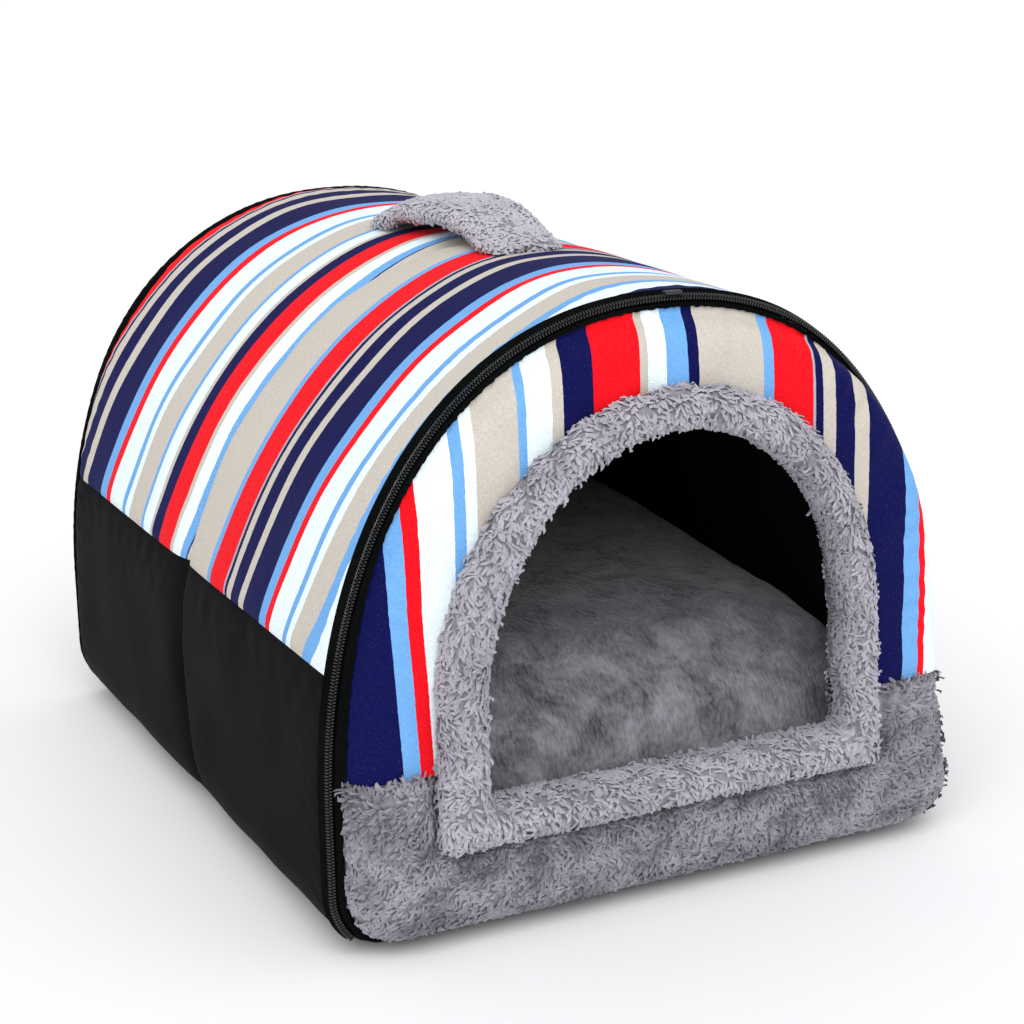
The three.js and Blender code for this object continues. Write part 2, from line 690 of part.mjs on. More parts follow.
add('roof_panel', roofGeometry(), COLOURS.stripes);
add('side_panel_left', sideGeometry(LEFT), COLOURS.oxford);
add('side_panel_right', sideGeometry(RIGHT), COLOURS.oxford);
add('base_panel', baseGeometry(), COLOURS.oxford);
add('back_panel', backGeometry(), COLOURS.oxford);
add('lining', liningGeometry(), COLOURS.lining);
add('front_panel', frontPanelGeometry(), COLOURS.stripes);
add('front_skirt', skirtGeometry(), COLOURS.plush);
add('door_trim', trimGeometry(), COLOURS.plush);
add('zip_tape', tapeGeometry(), COLOURS.tape);
add('zip_tape_roof', roofTapeGeometry(), COLOURS.tape);
add('zip_coil', coilGeometry(), COLOURS.coil);
add('zip_slider', sliderGeometry(), COLOURS.coil);
add('front_binding', frontBindingGeometry(), COLOURS.tape);
add('back_binding', backBindingGeometry(), COLOURS.tape);
add('side_binding_left', sideBindingGeometry(LEFT), COLOURS.tape);
add('side_binding_right', sideBindingGeometry(RIGHT), COLOURS.tape);
add('mat', matGeometry(), COLOURS.matPlush);
add('handle', handleGeometry(), COLOURS.plush);

export default bed;
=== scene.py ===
# %% [markdown]
# # A semi-enclosed dog bed
# The bed is a padded tunnel of striped canvas with black oxford sides. Its front is a padded
# striped panel with a D-shaped doorway, edged in long grey plush. Inside lies a thick plush
# mat, and a short plush strap on the ridge carries it.
# Every cloth piece here starts as a flat grid and is then laid on the tunnel's outline: the
# walls, lining and tapes at the size they would be cut to. That way stripes and weave follow
# the cloth, as they do on the real one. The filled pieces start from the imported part's solids,
# and the pile is grown on them lock by lock.

import math

import bpy
import numpy as np
from mathutils import Matrix, Vector


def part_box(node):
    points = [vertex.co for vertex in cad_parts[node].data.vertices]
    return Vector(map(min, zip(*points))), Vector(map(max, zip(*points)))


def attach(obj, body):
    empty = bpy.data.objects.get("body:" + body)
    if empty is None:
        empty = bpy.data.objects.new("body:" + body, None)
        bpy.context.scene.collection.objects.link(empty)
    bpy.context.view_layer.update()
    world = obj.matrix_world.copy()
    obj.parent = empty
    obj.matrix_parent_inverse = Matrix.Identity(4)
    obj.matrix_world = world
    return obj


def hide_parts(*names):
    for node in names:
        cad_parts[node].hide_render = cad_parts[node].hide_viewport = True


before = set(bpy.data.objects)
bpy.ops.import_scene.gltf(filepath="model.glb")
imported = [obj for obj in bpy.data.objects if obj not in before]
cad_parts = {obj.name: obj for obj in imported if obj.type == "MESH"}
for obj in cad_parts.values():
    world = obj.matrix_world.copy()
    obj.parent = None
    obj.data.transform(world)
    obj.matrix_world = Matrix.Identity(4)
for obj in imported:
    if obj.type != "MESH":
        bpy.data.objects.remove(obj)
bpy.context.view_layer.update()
MM = 0.001


# %% A new object in the scene
def new_object(name, data):
    made = bpy.data.objects.new(name, data)
    bpy.context.scene.collection.objects.link(made)
    return made


# %% [markdown]
# ## Camera, light and floor
# The camera stands where the photograph was taken from: its place was worked out from the two
# arches and the floor line of the tunnel. A long lens far away keeps the tunnel's depth from
# opening up. A wide soft light from above the left of the camera, a weak one from its right
# and a pale world give the even studio light, with only a soft shadow under the bed.

# %% Camera: a length and a shift in pixels of the picture, a place in metres, turns in radians
PICTURE = 1024
FOCAL_PIXELS = 2318.28
SHIFT_PIXELS = (-26.1, -33.2)
CAMERA_PLACE = (-0.5309, -1.1257, 0.5064)
YAW, PITCH, ROLL = 0.4659, -0.2683, -0.0149
forward = Vector((math.sin(YAW) * math.cos(PITCH), math.cos(YAW) * math.cos(PITCH), math.sin(PITCH)))
level = Vector((math.cos(YAW), -math.sin(YAW), 0))
upward = level.cross(forward)
right = level * math.cos(ROLL) + upward * math.sin(ROLL)
top = upward * math.cos(ROLL) - level * math.sin(ROLL)

lens = bpy.data.cameras.new("camera")
lens.sensor_width = 36
lens.lens = FOCAL_PIXELS * lens.sensor_width / PICTURE
lens.shift_x = SHIFT_PIXELS[0] / PICTURE
lens.shift_y = SHIFT_PIXELS[1] / PICTURE
camera = new_object("camera", lens)
turn = Matrix((right, top, -forward)).transposed().to_4x4()
camera.matrix_world = Matrix.Translation(CAMERA_PLACE) @ turn
bpy.context.scene.camera = camera
bpy.context.scene.view_settings.view_transform = "Standard"
print("lens", round(lens.lens, 1), "mm")


# %% Lights
def soft_sun(name, aim, power, width):
    """A distant light with a disc this many degrees wide, so that its shadows are soft."""
    lamp = bpy.data.lights.new(name, "SUN")
    lamp.energy = power
    lamp.angle = math.radians(width)
    sun = new_object(name, lamp)
    sun.rotation_euler = Vector(aim).to_track_quat("-Z", "Y").to_euler()


soft_sun("key_light", aim=(0.36, 0.66, -0.75), power=1.78, width=60)
soft_sun("fill_light", aim=(-0.5, 0.55, -0.5), power=0.26, width=90)
print("two soft suns")


# %% One function for nodes, one for their inputs and one for colours
def linear(text):
    """An sRGB hex colour as a linear RGBA value."""
    parts = [int(text[i : i + 2], 16) / 255 for i in (1, 3, 5)]
    return [p / 12.92 if p <= 0.04045 else ((p + 0.055) / 1.055) ** 2.4 for p in parts] + [1.0]


def wire(tree, node, inputs):
    """Sets a node's inputs, each to a value or to another node's output."""
    for socket, value in inputs.items():
        if isinstance(value, bpy.types.NodeSocket):
            tree.links.new(value, node.inputs[socket])
        else:
            node.inputs[socket].default_value = value


def add(tree, kind, inputs=None, **settings):
    """A node with its settings and its inputs."""
    made = tree.nodes.new("ShaderNode" + kind)
    for name, value in settings.items():
        setattr(made, name, value)
    wire(tree, made, inputs or {})
    return made


def new_material(name):
    """An empty material, its tree and its shader."""
    material = bpy.data.materials.new(name)
    material.use_nodes = True
    return material, material.node_tree, material.node_tree.nodes["Principled BSDF"]


# %% Floor and world
bpy.ops.object.select_all(action="DESELECT")
bpy.ops.mesh.primitive_plane_add(size=30, location=(0, 0, -0.5 * MM))
floor = bpy.context.object
floor.name = "studio_floor"
floor_material, tree, shader = new_material("painted_studio_floor")
grain = add(tree, "TexNoise", {"Vector": add(tree, "TexCoord").outputs["Object"], "Scale": 3.0})
tone = add(tree, "MapRange", {"Value": grain.outputs["Fac"], "To Min": 0.92, "To Max": 0.94})
wire(tree, shader, {"Base Color": tone.outputs["Result"], "Roughness": 0.9, "Specular IOR Level": 0.1})
floor.data.materials.append(floor_material)

world = bpy.data.worlds.new("pale_studio")
world.use_nodes = True
sky = world.node_tree.nodes["Background"]
wire(world.node_tree, sky, {"Color": linear("#f7f8fb"), "Strength": 0.75})
bpy.context.scene.world = world
print("floor and world")

# %% [markdown]
# ## The tunnel's outline
# Seen from the front the tunnel has straight lower sides, rounded lower corners and an arch
# that is a little squarer than an ellipse. Every wall, tape and binding follows this line, so
# it is worked out once. A place on it is told by the length of cloth from the ridge: the left
# side is negative, the right side positive, as a tape measure laid over the roof would read.

# %% Outline: its right half from the ridge to the middle of the base, in four stretches
HALF_WIDTH = 175 * MM
SPRING = 74 * MM
RISE = 226 * MM
POWER = 2.2
CORNER = 33 * MM
FRONT = -195.5 * MM
BACK = 214.5 * MM
ARCH_STEPS, SIDE_STEPS, CORNER_STEPS, BASE_STEPS = 600, 19, 59, 59

lean = np.linspace(0, math.pi / 2, ARCH_STEPS)
arch_x = HALF_WIDTH * np.sin(lean) ** (2 / POWER)
arch_z = SPRING + RISE * np.maximum(np.cos(lean), 0) ** (2 / POWER)
out_x = (arch_x / HALF_WIDTH) ** (POWER - 1) / HALF_WIDTH
out_z = ((arch_z - SPRING) / RISE) ** (POWER - 1) / RISE
side_z = np.linspace(SPRING, CORNER, SIDE_STEPS + 1)[1:]
bend = np.linspace(0, math.pi / 2, CORNER_STEPS + 1)[1:]
corner_x = HALF_WIDTH - CORNER + CORNER * np.cos(bend)
corner_z = CORNER - CORNER * np.sin(bend)
base_x = np.linspace(HALF_WIDTH - CORNER, 0, BASE_STEPS + 1)[1:]
stretches = [
    (arch_x, arch_z, out_x / np.hypot(out_x, out_z), out_z / np.hypot(out_x, out_z)),
    (np.full(SIDE_STEPS, HALF_WIDTH), side_z, np.ones(SIDE_STEPS), np.zeros(SIDE_STEPS)),
    (corner_x, corner_z, np.cos(bend), -np.sin(bend)),
    (base_x, np.zeros(BASE_STEPS), np.zeros(BASE_STEPS), -np.ones(BASE_STEPS)),
]
line_x, line_z, line_nx, line_nz = (np.concatenate(column) for column in zip(*stretches))
line_s = np.concatenate([[0], np.cumsum(np.hypot(np.diff(line_x), np.diff(line_z)))])
HALF_LENGTH = line_s[-1]


def on_outline(s):
    """Places on the outline and the directions that point out of the tunnel there."""
    far, side = np.abs(s), np.where(s < 0, -1.0, 1.0)
    x, z, nx, nz = (np.interp(far, line_s, row) for row in (line_x, line_z, line_nx, line_nz))
    length = np.hypot(nx, nz)
    return side * x, z, side * nx / length, nz / length


def length_at_height(z):
    """How much cloth lies between the ridge and a height above the lower corner."""
    steps = ARCH_STEPS + SIDE_STEPS
    return np.interp(-z, -line_z[:steps], line_s[:steps])


def length_at_corner(degrees):
    """0 degrees is the bottom of the lower corner and 90 its side."""
    return length_at_height(CORNER) + CORNER * math.radians(90 - degrees)


print("outline length over the roof", round(2 * HALF_LENGTH, 3), "m")

# %% [markdown]
# ## Small uneven things
# Sewn cloth is never quite even: it puckers beside a seam and waves over its padding. Each
# such wave is a sum of a few sines with fixed seeds, so every run gives the same bed.


# %% Waves
def waves(x, length, seed, y=None):
    """A smooth uneven wave, mostly between -1 and 1, of about this wavelength."""
    rng = np.random.default_rng(seed)
    total = np.zeros(np.shape(x))
    for _ in range(6):
        stretch, phase, slant = rng.uniform(0.6, 1.7), rng.uniform(0, 2 * math.pi), rng.uniform(-1, 1)
        across = 0 if y is None else slant * y
        total += np.sin(2 * math.pi * (x + across) * stretch / length + phase)
    return total / 2.4


def smooth(x, low, high):
    """0 below low and 1 above high, with an even turn between."""
    share = np.clip((x - low) / (high - low), 0, 1)
    return share * share * (3 - 2 * share)


def eased(x, xs, ys, width):
    """A table read off with its corners rounded over a width."""
    steps = np.linspace(-1, 1, 9) * width
    return sum(np.interp(x + step, xs, ys) for step in steps) / len(steps)


# %% The whole bed gives a little
LEAN, LEAN_BELOW = 6.5, 5.0


def pressed(x, y, z):
    """The right side leans in at the front by some millimetres: padding and cloth aren't stiff."""
    lean = LEAN * smooth(z, 20 * MM, 115 * MM)
    lean += LEAN_BELOW * smooth(z, 3 * MM, 50 * MM) * (1 - smooth(z, 120 * MM, 200 * MM))
    return x - lean * MM * smooth(x, 60 * MM, 165 * MM) * smooth(-y, -120 * MM, 150 * MM)


def tucked(s):
    """1 on the right of the front, where its padding swells over the zip, and 0 on the left."""
    return smooth(s, 60 * MM, 160 * MM)


# %% Mesh helpers
def pick(piece):
    bpy.ops.object.select_all(action="DESELECT")
    piece.select_set(True)
    bpy.context.view_layer.objects.active = piece


def apply_modifier(piece, kind, **settings):
    """Adds a modifier to the active piece, and applies it."""
    step = piece.modifiers.new(kind.lower(), kind)
    for name, value in settings.items():
        setattr(step, name, value)
    bpy.ops.object.modifier_apply(modifier=step.name)


def places(piece):
    """The place of each corner of a mesh."""
    spots = np.zeros(len(piece.data.vertices) * 3)
    piece.data.vertices.foreach_get("co", spots)
    return spots.reshape(-1, 3)


def directions(piece):
    """The outward direction at each corner of a mesh."""
    normals = np.zeros(len(piece.data.vertices) * 3)
    piece.data.vertices.foreach_get("normal", normals)
    return normals.reshape(-1, 3)


def put(piece, spots):
    """Moves each corner of a mesh to its new place."""
    piece.data.vertices.foreach_set("co", spots.ravel())
    piece.data.update()


def close_seams(piece):
    """Merges the corners that lie on each other and turns all faces outwards."""
    pick(piece)
    bpy.ops.object.mode_set(mode="EDIT")
    bpy.ops.mesh.select_all(action="SELECT")
    bpy.ops.mesh.remove_doubles(threshold=1e-6)
    bpy.ops.mesh.normals_make_consistent(inside=False)
    bpy.ops.object.mode_set(mode="OBJECT")


# %% Cutting cloth: a flat grid, given a second layer, marked and laid in place
def cut_cloth(name, width, length, columns, rows):
    """A flat sheet of two layers: the piece, its corners' places on it, and which are outside."""
    bpy.ops.object.select_all(action="DESELECT")
    bpy.ops.mesh.primitive_grid_add(x_subdivisions=columns, y_subdivisions=rows, size=1)
    piece = bpy.context.object
    piece.name = piece.data.name = name
    piece.scale = (width, length, 1)
    bpy.ops.object.transform_apply(scale=True)
    apply_modifier(piece, "SOLIDIFY", thickness=MM)
    flat = places(piece)
    outer = np.arange(len(flat)) < len(flat) // 2
    return piece, flat[:, 0], flat[:, 1], outer


def mark_cloth(piece, u, v):
    """Writes each corner's place on the flat cloth, in metres, to the UV map, before lay()."""
    corners = np.zeros(len(piece.data.loops), int)
    piece.data.loops.foreach_get("vertex_index", corners)
    piece.data.uv_layers[0].data.foreach_set("uv", np.stack([u[corners], v[corners]], 1).ravel())


def lay(piece, x, y, z):
    """Moves a sheet's corners to their places, closes its seams and shades it smooth."""
    put(piece, np.stack([pressed(x, y, z), y, z], 1))
    close_seams(piece)
    bpy.ops.object.shade_smooth_by_angle(angle=math.radians(60))


def finish_piece(piece, material, slot, *nodes):
    """Gives a piece its finish and its body, and hides the nodes that it stands for. The slot is not used."""
    piece.data.materials.clear()
    piece.data.materials.append(material)
    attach(piece, "root")
    if nodes:
        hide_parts(*nodes)
    print(piece.name, "has", len(piece.data.polygons), "faces")


# %% [markdown]
# ## Striped canvas
# A cotton canvas, plain woven and printed or yarn-dyed in stripes: matt, slightly nubbly, with
# a beige that is a melange of light and dark yarns, and edges that waver by a thread. A colour
# ramp with hard steps holds the stripes. It is read along the cloth in real millimetres from
# the piece's UV map, so the stripes bend with the cloth. A little noise moves the edges, and
# two more, one drawn out along each set of threads, give the melange and the nubs.

# %% Stripes: where each one starts, in millimetres, and its colour
# The pale navy colour is used only for a painted shadow line at the roof's fold, not for a stripe of the
# cloth.
NAVY, FOLD_SHADOW_NAVY, RED, BLUE = "#0b0e4c", "#3b4584", "#f2101e", "#72ace6"
WHITE, BEIGE, GREY = "#eaf6fb", "#c9c2b7", "#a9b0b8"
LAST_STRIPE = 20
FRONT_STRIPES = [
    (-200, NAVY), (-147.5, BLUE), (-138.2, RED), (-132, WHITE), (-115, BLUE), (-109, WHITE),
    (-103, BEIGE), (-82, BLUE), (-77, WHITE), (-64, BEIGE), (-58.5, NAVY), (-42.5, RED), (-18, BEIGE),
    (-13.5, WHITE), (-4, BLUE), (8.2, NAVY), (13.2, BEIGE), (50, BLUE), (55.7, RED), (77.5, GREY),
    (79.5, NAVY), (84, BEIGE), (91.5, NAVY), (102.5, BEIGE), (110.7, NAVY), (134, BLUE), (144, RED),
    (148, WHITE),
]
ROOF_FRONT_STRIPES = [
    (-250, NAVY), (-218.5, WHITE), (-204.5, BLUE), (-198.5, BEIGE), (-184, WHITE), (-178.5, BLUE),
    (-174, WHITE), (-156, RED), (-150, BLUE), (-142, NAVY), (-119, BEIGE), (-112, NAVY), (-101, BEIGE),
    # At -22 mm, just before the fold, the thin dark blue step is a painted shadow of the crease.
    (-95, NAVY), (-92, GREY), (-90, RED), (-70, BLUE), (-64.5, BEIGE), (-22, FOLD_SHADOW_NAVY), (-21.2, BLUE),
]
ROOF_BACK_STRIPES = [
    (-20, BLUE), (-16.5, WHITE), (-8, BEIGE), (-4, RED), (14, NAVY), (26, BEIGE), (30, WHITE),
    (42, BLUE), (46, BEIGE), (69, WHITE), (76, BLUE), (82, WHITE), (105, RED), (112, BLUE), (123, NAVY),
    (150, BEIGE), (160, NAVY), (174, BEIGE), (182.5, NAVY), (186, GREY), (188, RED), (208, BLUE),
    (214, BEIGE),
]
print("stripes on the front:", len(FRONT_STRIPES))

# %% Canvas material. The yarns are 0.6 mm apart, and their weave is drawn twice as coarse
YARNS, SLUBS = 1700.0, 420.0
WEAVE = 260.0
WAVER = 0.35 * MM


def stripe_steps(tree, place, stripes):
    """A colour ramp with hard steps over a table of stripes, read at a place in metres."""
    low, high = stripes[0][0] * MM, (stripes[-1][0] + LAST_STRIPE) * MM
    share = add(tree, "MapRange", {"Value": place, "From Min": low, "From Max": high})
    ramp = add(tree, "ValToRGB", {"Fac": share.outputs["Result"]})
    ramp.color_ramp.interpolation = "CONSTANT"
    steps = ramp.color_ramp.elements
    steps.remove(steps[1])
    for at, colour in stripes:
        step = steps[0] if at == stripes[0][0] else steps.new((at * MM - low) / (high - low))
        step.color = linear(colour)
    return ramp.outputs["Color"]


def striped_canvas(name, along, stripes):
    """along is the UV axis that crosses the stripes: "X" on the front and "Y" on the roof."""
    material, tree, shader = new_material(name)
    cloth = add(tree, "TexCoord").outputs["UV"]
    wobble = add(tree, "TexNoise", {"Vector": cloth, "Scale": 260.0, "Detail": 2.0}).outputs["Fac"]
    shift = add(tree, "MapRange", {"Value": wobble, "To Min": -WAVER, "To Max": WAVER})
    axes = add(tree, "SeparateXYZ", {"Vector": cloth})
    place = add(tree, "Math", {0: axes.outputs[along], 1: shift.outputs["Result"]}, operation="ADD").outputs[0]
    colours = [stripe_steps(tree, place, table) for table in stripes]
    colour = colours[0]
    if len(stripes) > 1:
        split = add(tree, "Math", {0: place, 1: stripes[1][0][0] * MM}, operation="GREATER_THAN")
        halves = {0: split.outputs[0], 6: colours[0], 7: colours[1]}
        colour = add(tree, "Mix", halves, data_type="RGBA").outputs[2]

    # Each yarn is even for about 2.4 mm of its length, in both directions of the weave
    warp, weft = [
        add(tree, "Mapping", {"Vector": cloth, "Scale": scale}).outputs[0]
        for scale in ((YARNS, SLUBS, 1.0), (SLUBS, YARNS, 1.0))
    ]
    uneven = {
        socket: add(tree, "TexNoise", {"Vector": drawn, "Scale": 1.0, "Detail": 1.0}).outputs["Fac"]
        for socket, drawn in enumerate((warp, weft))
    }
    yarns = add(tree, "Math", uneven, operation="ADD").outputs[0]
    shade = {"Value": yarns, "From Min": 0.6, "From Max": 1.4, "To Min": 0.85, "To Max": 1.1}
    melange = {0: 1.0, 6: colour, 7: add(tree, "MapRange", shade).outputs[0]}
    melange = add(tree, "Mix", melange, data_type="RGBA", blend_type="MULTIPLY").outputs[2]
    speck = add(tree, "MapRange", {"Value": yarns, "From Min": 1.15, "From Max": 1.45, "To Max": 0.05})
    specked = add(tree, "Mix", {0: speck.outputs[0], 6: melange, 7: linear("#b9bccf")}, data_type="RGBA")
    threads = {
        socket: add(
            tree, "TexWave", {"Vector": cloth, "Scale": WEAVE, "Distortion": 0.6}, bands_direction=axis
        ).outputs["Fac"]
        for socket, axis in enumerate("XY")
    }
    weave = add(tree, "Math", threads, operation="MULTIPLY")
    height = add(tree, "Math", {0: weave.outputs[0], 1: yarns}, operation="ADD")
    bump = add(tree, "Bump", {"Height": height.outputs[0], "Strength": 0.35, "Distance": 0.25 * MM})
    wire(tree, shader, {
        "Base Color": specked.outputs[2], "Normal": bump.outputs[0], "Roughness": 0.85,
        "Specular IOR Level": 0.08, "Sheen Weight": 0.03, "Sheen Roughness": 0.5,
    })
    return material


canvas_front = striped_canvas("striped_cotton_canvas_front", "X", [FRONT_STRIPES])
canvas_roof = striped_canvas("striped_cotton_canvas_roof", "Y", [ROOF_FRONT_STRIPES, ROOF_BACK_STRIPES])
print("two striped canvases")


# %% [markdown]
# ## Black cloths
# The sides, base and back are a nylon oxford: a coarse weave with a faint shine along its
# yarns. The lining is a matt black cloth and the tapes are ribbed. All are nearly black, so
# what tells them apart is their bump and how broadly they shine.


# %% Black cloth materials
def black_cloth(name, colour, pale, roughness, shine, pitch, depth):
    """A woven black cloth on Object coordinates, with yarns a pitch apart, in millimetres."""
    material, tree, shader = new_material(name)
    place = add(tree, "Mapping", {"Vector": add(tree, "TexCoord").outputs["Object"]}).outputs[0]
    # Bands along Y and Z are the yarns, and slanting ones show the weave on every wall.
    # A wave texture of scale 1 has a band every pi / 10 metres.
    scale = math.pi / (pitch * MM) / 10
    slant, lengthwise, upright = [
        add(
            tree, "TexWave", {"Vector": place, "Scale": scale * s, "Distortion": 0.5}, bands_direction=axis
        ).outputs["Fac"]
        for axis, s in (("DIAGONAL", 0.6), ("Y", 1.0), ("Z", 1.0))
    ]
    yarns = add(tree, "Math", {0: lengthwise, 1: upright}, operation="MAXIMUM")
    weave = add(tree, "Math", {0: slant, 1: yarns.outputs[0]}, operation="ADD")
    cloud = add(tree, "TexNoise", {"Vector": place, "Scale": 24.0, "Detail": 4.0})
    lint = add(tree, "TexNoise", {"Vector": place, "Scale": 900.0, "Detail": 1.0})
    mixed = add(tree, "Math", {0: cloud.outputs["Fac"], 1: lint.outputs["Fac"]}, operation="MULTIPLY")
    share = add(tree, "MapRange", {"Value": mixed.outputs[0], "From Min": 0.12, "From Max": 0.42})
    tint = add(tree, "Mix", {0: share.outputs[0], 6: linear(colour), 7: linear(pale)}, data_type="RGBA")
    bump = add(tree, "Bump", {"Height": weave.outputs[0], "Strength": 0.5, "Distance": depth * MM})
    wire(tree, shader, {
        "Base Color": tint.outputs[2], "Normal": bump.outputs[0],
        "Roughness": roughness, "Specular IOR Level": shine,
    })
    return material


oxford = black_cloth("black_nylon_oxford", "#0e0d0f", "#181719", 0.55, 0.012, 0.9, 0.1)
lining_cloth = black_cloth("black_cotton_lining", "#101014", "#1f1f25", 0.9, 0.02, 0.8, 0.08)
tape_cloth = black_cloth("ribbed_black_tape", "#070808", "#101111", 0.7, 0.01, 1.1, 0.12)
print("three black cloths")

# %% [markdown]
# ## Padded walls
# Roof and sides are cloth over about 10 mm of foam, sewn to the arches at both ends and
# pinched in across the middle, where the tunnel folds. The cloth is flat when cut and bends
# only one way, so a grid of its flat size is laid on the outline. Its height over the outline
# draws in at the seams, swells between them and drops into the fold. The fold wanders a
# little, and the cloth puckers beside it and beside the seams.

# %% Wall sizes
SEAM_HEIGHT = 139 * MM
HALF_GAP = 0.15 * MM
WALL = 10 * MM
END = 1 * MM
EASE = 26 * MM
FOLD_HEIGHTS = np.array([0, 30, 75, 125, 170, 215, 260, 310]) * MM
FOLD_BEHIND = np.array([194, 196, 209, 213, 202, 189, 182.5, 187]) * MM
ROLL_BEFORE, ROLL_BEHIND = 3.2 * MM, 7.0 * MM
# Heights over the outline, in millimetres
SWELL, ARCH_DIP, SEAM_DIP, CREASE, HOLLOW = 1.7, 2.7, 1.2, 5.8, 0.9


# %% Wall shape
def wall_lift(s, y, z, to_seam):
    """How far the wall's cloth stands over the outline."""
    to_arch = np.minimum(y - FRONT - END, BACK - END - y)
    fold = FRONT + eased(z, FOLD_HEIGHTS, FOLD_BEHIND, EASE) + 0.12 * MM * waves(s, 80 * MM, 3)
    to_fold = np.abs(y - fold)
    roll = np.where(y < fold, ROLL_BEFORE, ROLL_BEHIND)
    swell = SWELL - ARCH_DIP * np.exp(-to_arch / (3.2 * MM)) - SEAM_DIP * np.exp(-to_seam / (3 * MM))
    crease = -CREASE * np.exp(-((to_fold / roll) ** 1.25)) - HOLLOW * np.exp(-((to_fold / (24 * MM)) ** 2))
    # Puckers beside the arches, beside the seam and beside the fold, and then wide soft waves
    pucker = 0.55 * waves(s, 17 * MM, 5, y) * np.exp(-to_arch / (13 * MM))
    pucker += 0.5 * waves(y, 21 * MM, 7, s) * np.exp(-to_seam / (16 * MM)) * np.clip(z / (120 * MM), 0.1, 1)
    pucker += 0.2 * waves(s, 46 * MM, 9, y) * np.exp(-to_fold / (22 * MM))
    soft = 0.3 * waves(s, 110 * MM, 11, y) + 0.25 * waves(y, 80 * MM, 12, s)
    rounded = 1 - np.exp(-np.minimum(to_arch, to_seam) / (6 * MM))
    return (swell + crease + (pucker + soft) * rounded) * MM


def padded_wall(name, low, high, columns, rows, cloth_place=None):
    """A wall between two places on the outline, from the front arch to the back arch."""
    depth = BACK - FRONT - 2 * END
    wall, across, along, outer = cut_cloth(name, high - low, depth, columns, rows)
    s = across + (low + high) / 2
    y = along + (FRONT + BACK) / 2
    if cloth_place is not None:
        mark_cloth(wall, s, cloth_place(s, y))
    x, z, nx, nz = on_outline(s)
    to_seam = np.minimum(s - low, high - s)
    lift = np.where(outer, wall_lift(s, y, z, to_seam), -WALL)
    lay(wall, x + nx * lift, y, z + nz * lift)
    return wall


# %% [markdown]
# ### Roof
# The stripes run across the roof but bow: they were pulled towards the back beside the side
# seams and near the ridge, and less where the zip holds them. The bow is a table of shifts
# along the cloth, one for the half before the fold and one for the half behind it.

# %% Roof
BOW_AT = np.array([
    -285, -250, -225, -200, -175, -150, -125, -100, -75, -50, -30, 0, 40, 90, 125, 200, 285
]) * MM
BOW_FRONT = np.array([42, 27, 19, 11.5, 6, 2.5, 0, 0, 4, 10, 17, 27, 30, 22, 18, 20, 42]) * MM
BOW_BACK = np.array([43, 28, 19, 11.5, 6, 2.5, 0, -1, 1, 4, 6, 8, 8, 4, 0, 11, 43]) * MM
ZIP_HOLDS = 0.45
BOWS_MEET = 60 * MM
STRIPES_START = 9.5 * MM
ROOF_EDGE = length_at_height(SEAM_HEIGHT + HALF_GAP)


def roof_stripe_place(s, y):
    """Where the table of stripes is read for a place on the roof."""
    front, back = (eased(s, BOW_AT, bow, EASE) for bow in (BOW_FRONT, BOW_BACK))
    held = smooth(-y, 155 * MM, 190 * MM) * smooth(np.abs(s), 20 * MM, 80 * MM)
    front = front * (1 - ZIP_HOLDS * held)
    share = np.clip((y + BOWS_MEET) / (2 * BOWS_MEET), 0, 1)
    return y - STRIPES_START - front * (1 - share) - back * share


roof = padded_wall("roof_of_canvas", -ROOF_EDGE, ROOF_EDGE, 190, 150, roof_stripe_place)
finish_piece(roof, canvas_roof, "striped_canvas", "roof_panel")

# %% Black sides
HEM = length_at_corner(38.3)
SIDE_TOP = length_at_height(SEAM_HEIGHT - HALF_GAP)
left_side = padded_wall("left_side_of_oxford", -HEM, -SIDE_TOP, 60, 168)
right_side = padded_wall("right_side_of_oxford", SIDE_TOP, HEM, 60, 168)
finish_piece(left_side, oxford, "black_oxford", "side_panel_left")
finish_piece(right_side, oxford, "black_oxford", "side_panel_right")

# %% Base, from behind the front's foot to the back arch, drawn in along its hems
BASE_EDGE = HALF_LENGTH - length_at_corner(37.7)
FOOT = 9.3 * MM
base, across, along, outer = cut_cloth("base_of_oxford", 2 * BASE_EDGE, BACK - END - FRONT - FOOT, 90, 60)
y = along + (FRONT + FOOT + BACK - END) / 2
x, z, nx, nz = on_outline(np.where(across < 0, -1, 1) * (HALF_LENGTH - np.abs(across)))
drawn_in = -1.2 * MM * np.exp(-(BASE_EDGE - np.abs(across)) / (3 * MM))
lift = np.where(outer, drawn_in, -WALL)
lay(base, x + nx * lift, y, z + nz * lift)
finish_piece(base, oxford, "black_oxford", "base_panel")

# %% [markdown]
# ### Back
# The closed end is hidden in the photograph. Such beds close it with a padded panel of the
# same black oxford, piped round its edge and crowned in its middle. Its grid goes once round
# the outline one way, and from the middle to the edge the other way.

# %% Back: how far it bulges, in millimetres, at shares of the way from its middle to its edge
PANEL_MARGIN = 3.4 * MM
PANEL_INSIDE = -0.7 * MM
BACK_SCALE = [0.0, 0.3, 0.6, 0.84, 0.93, 0.97, 1.0]
BACK_BULGE = [12.0, 12.0, 11.0, 8.5, 5.5, 3.5, 1.2]
BACK_MIDDLE = 140 * MM
back, around, inward, outer = cut_cloth("back_of_oxford", 2 * HALF_LENGTH, 1.0, 240, 40)
x, z, nx, nz = on_outline(around)
scale = inward + 0.5
x, z = (x - nx * PANEL_MARGIN) * scale, BACK_MIDDLE + (z - nz * PANEL_MARGIN - BACK_MIDDLE) * scale
pucker = 0.5 * waves(around, 30 * MM, 21) * np.exp(-(1 - scale) / 0.09) * (1 - np.exp(-(1 - scale) / 0.03))
behind = (eased(scale, BACK_SCALE, BACK_BULGE, 0.03) + pucker) * MM
lay(back, x, BACK + np.where(outer, behind, PANEL_INSIDE), z)
finish_piece(back, oxford, "black_oxford", "back_panel")

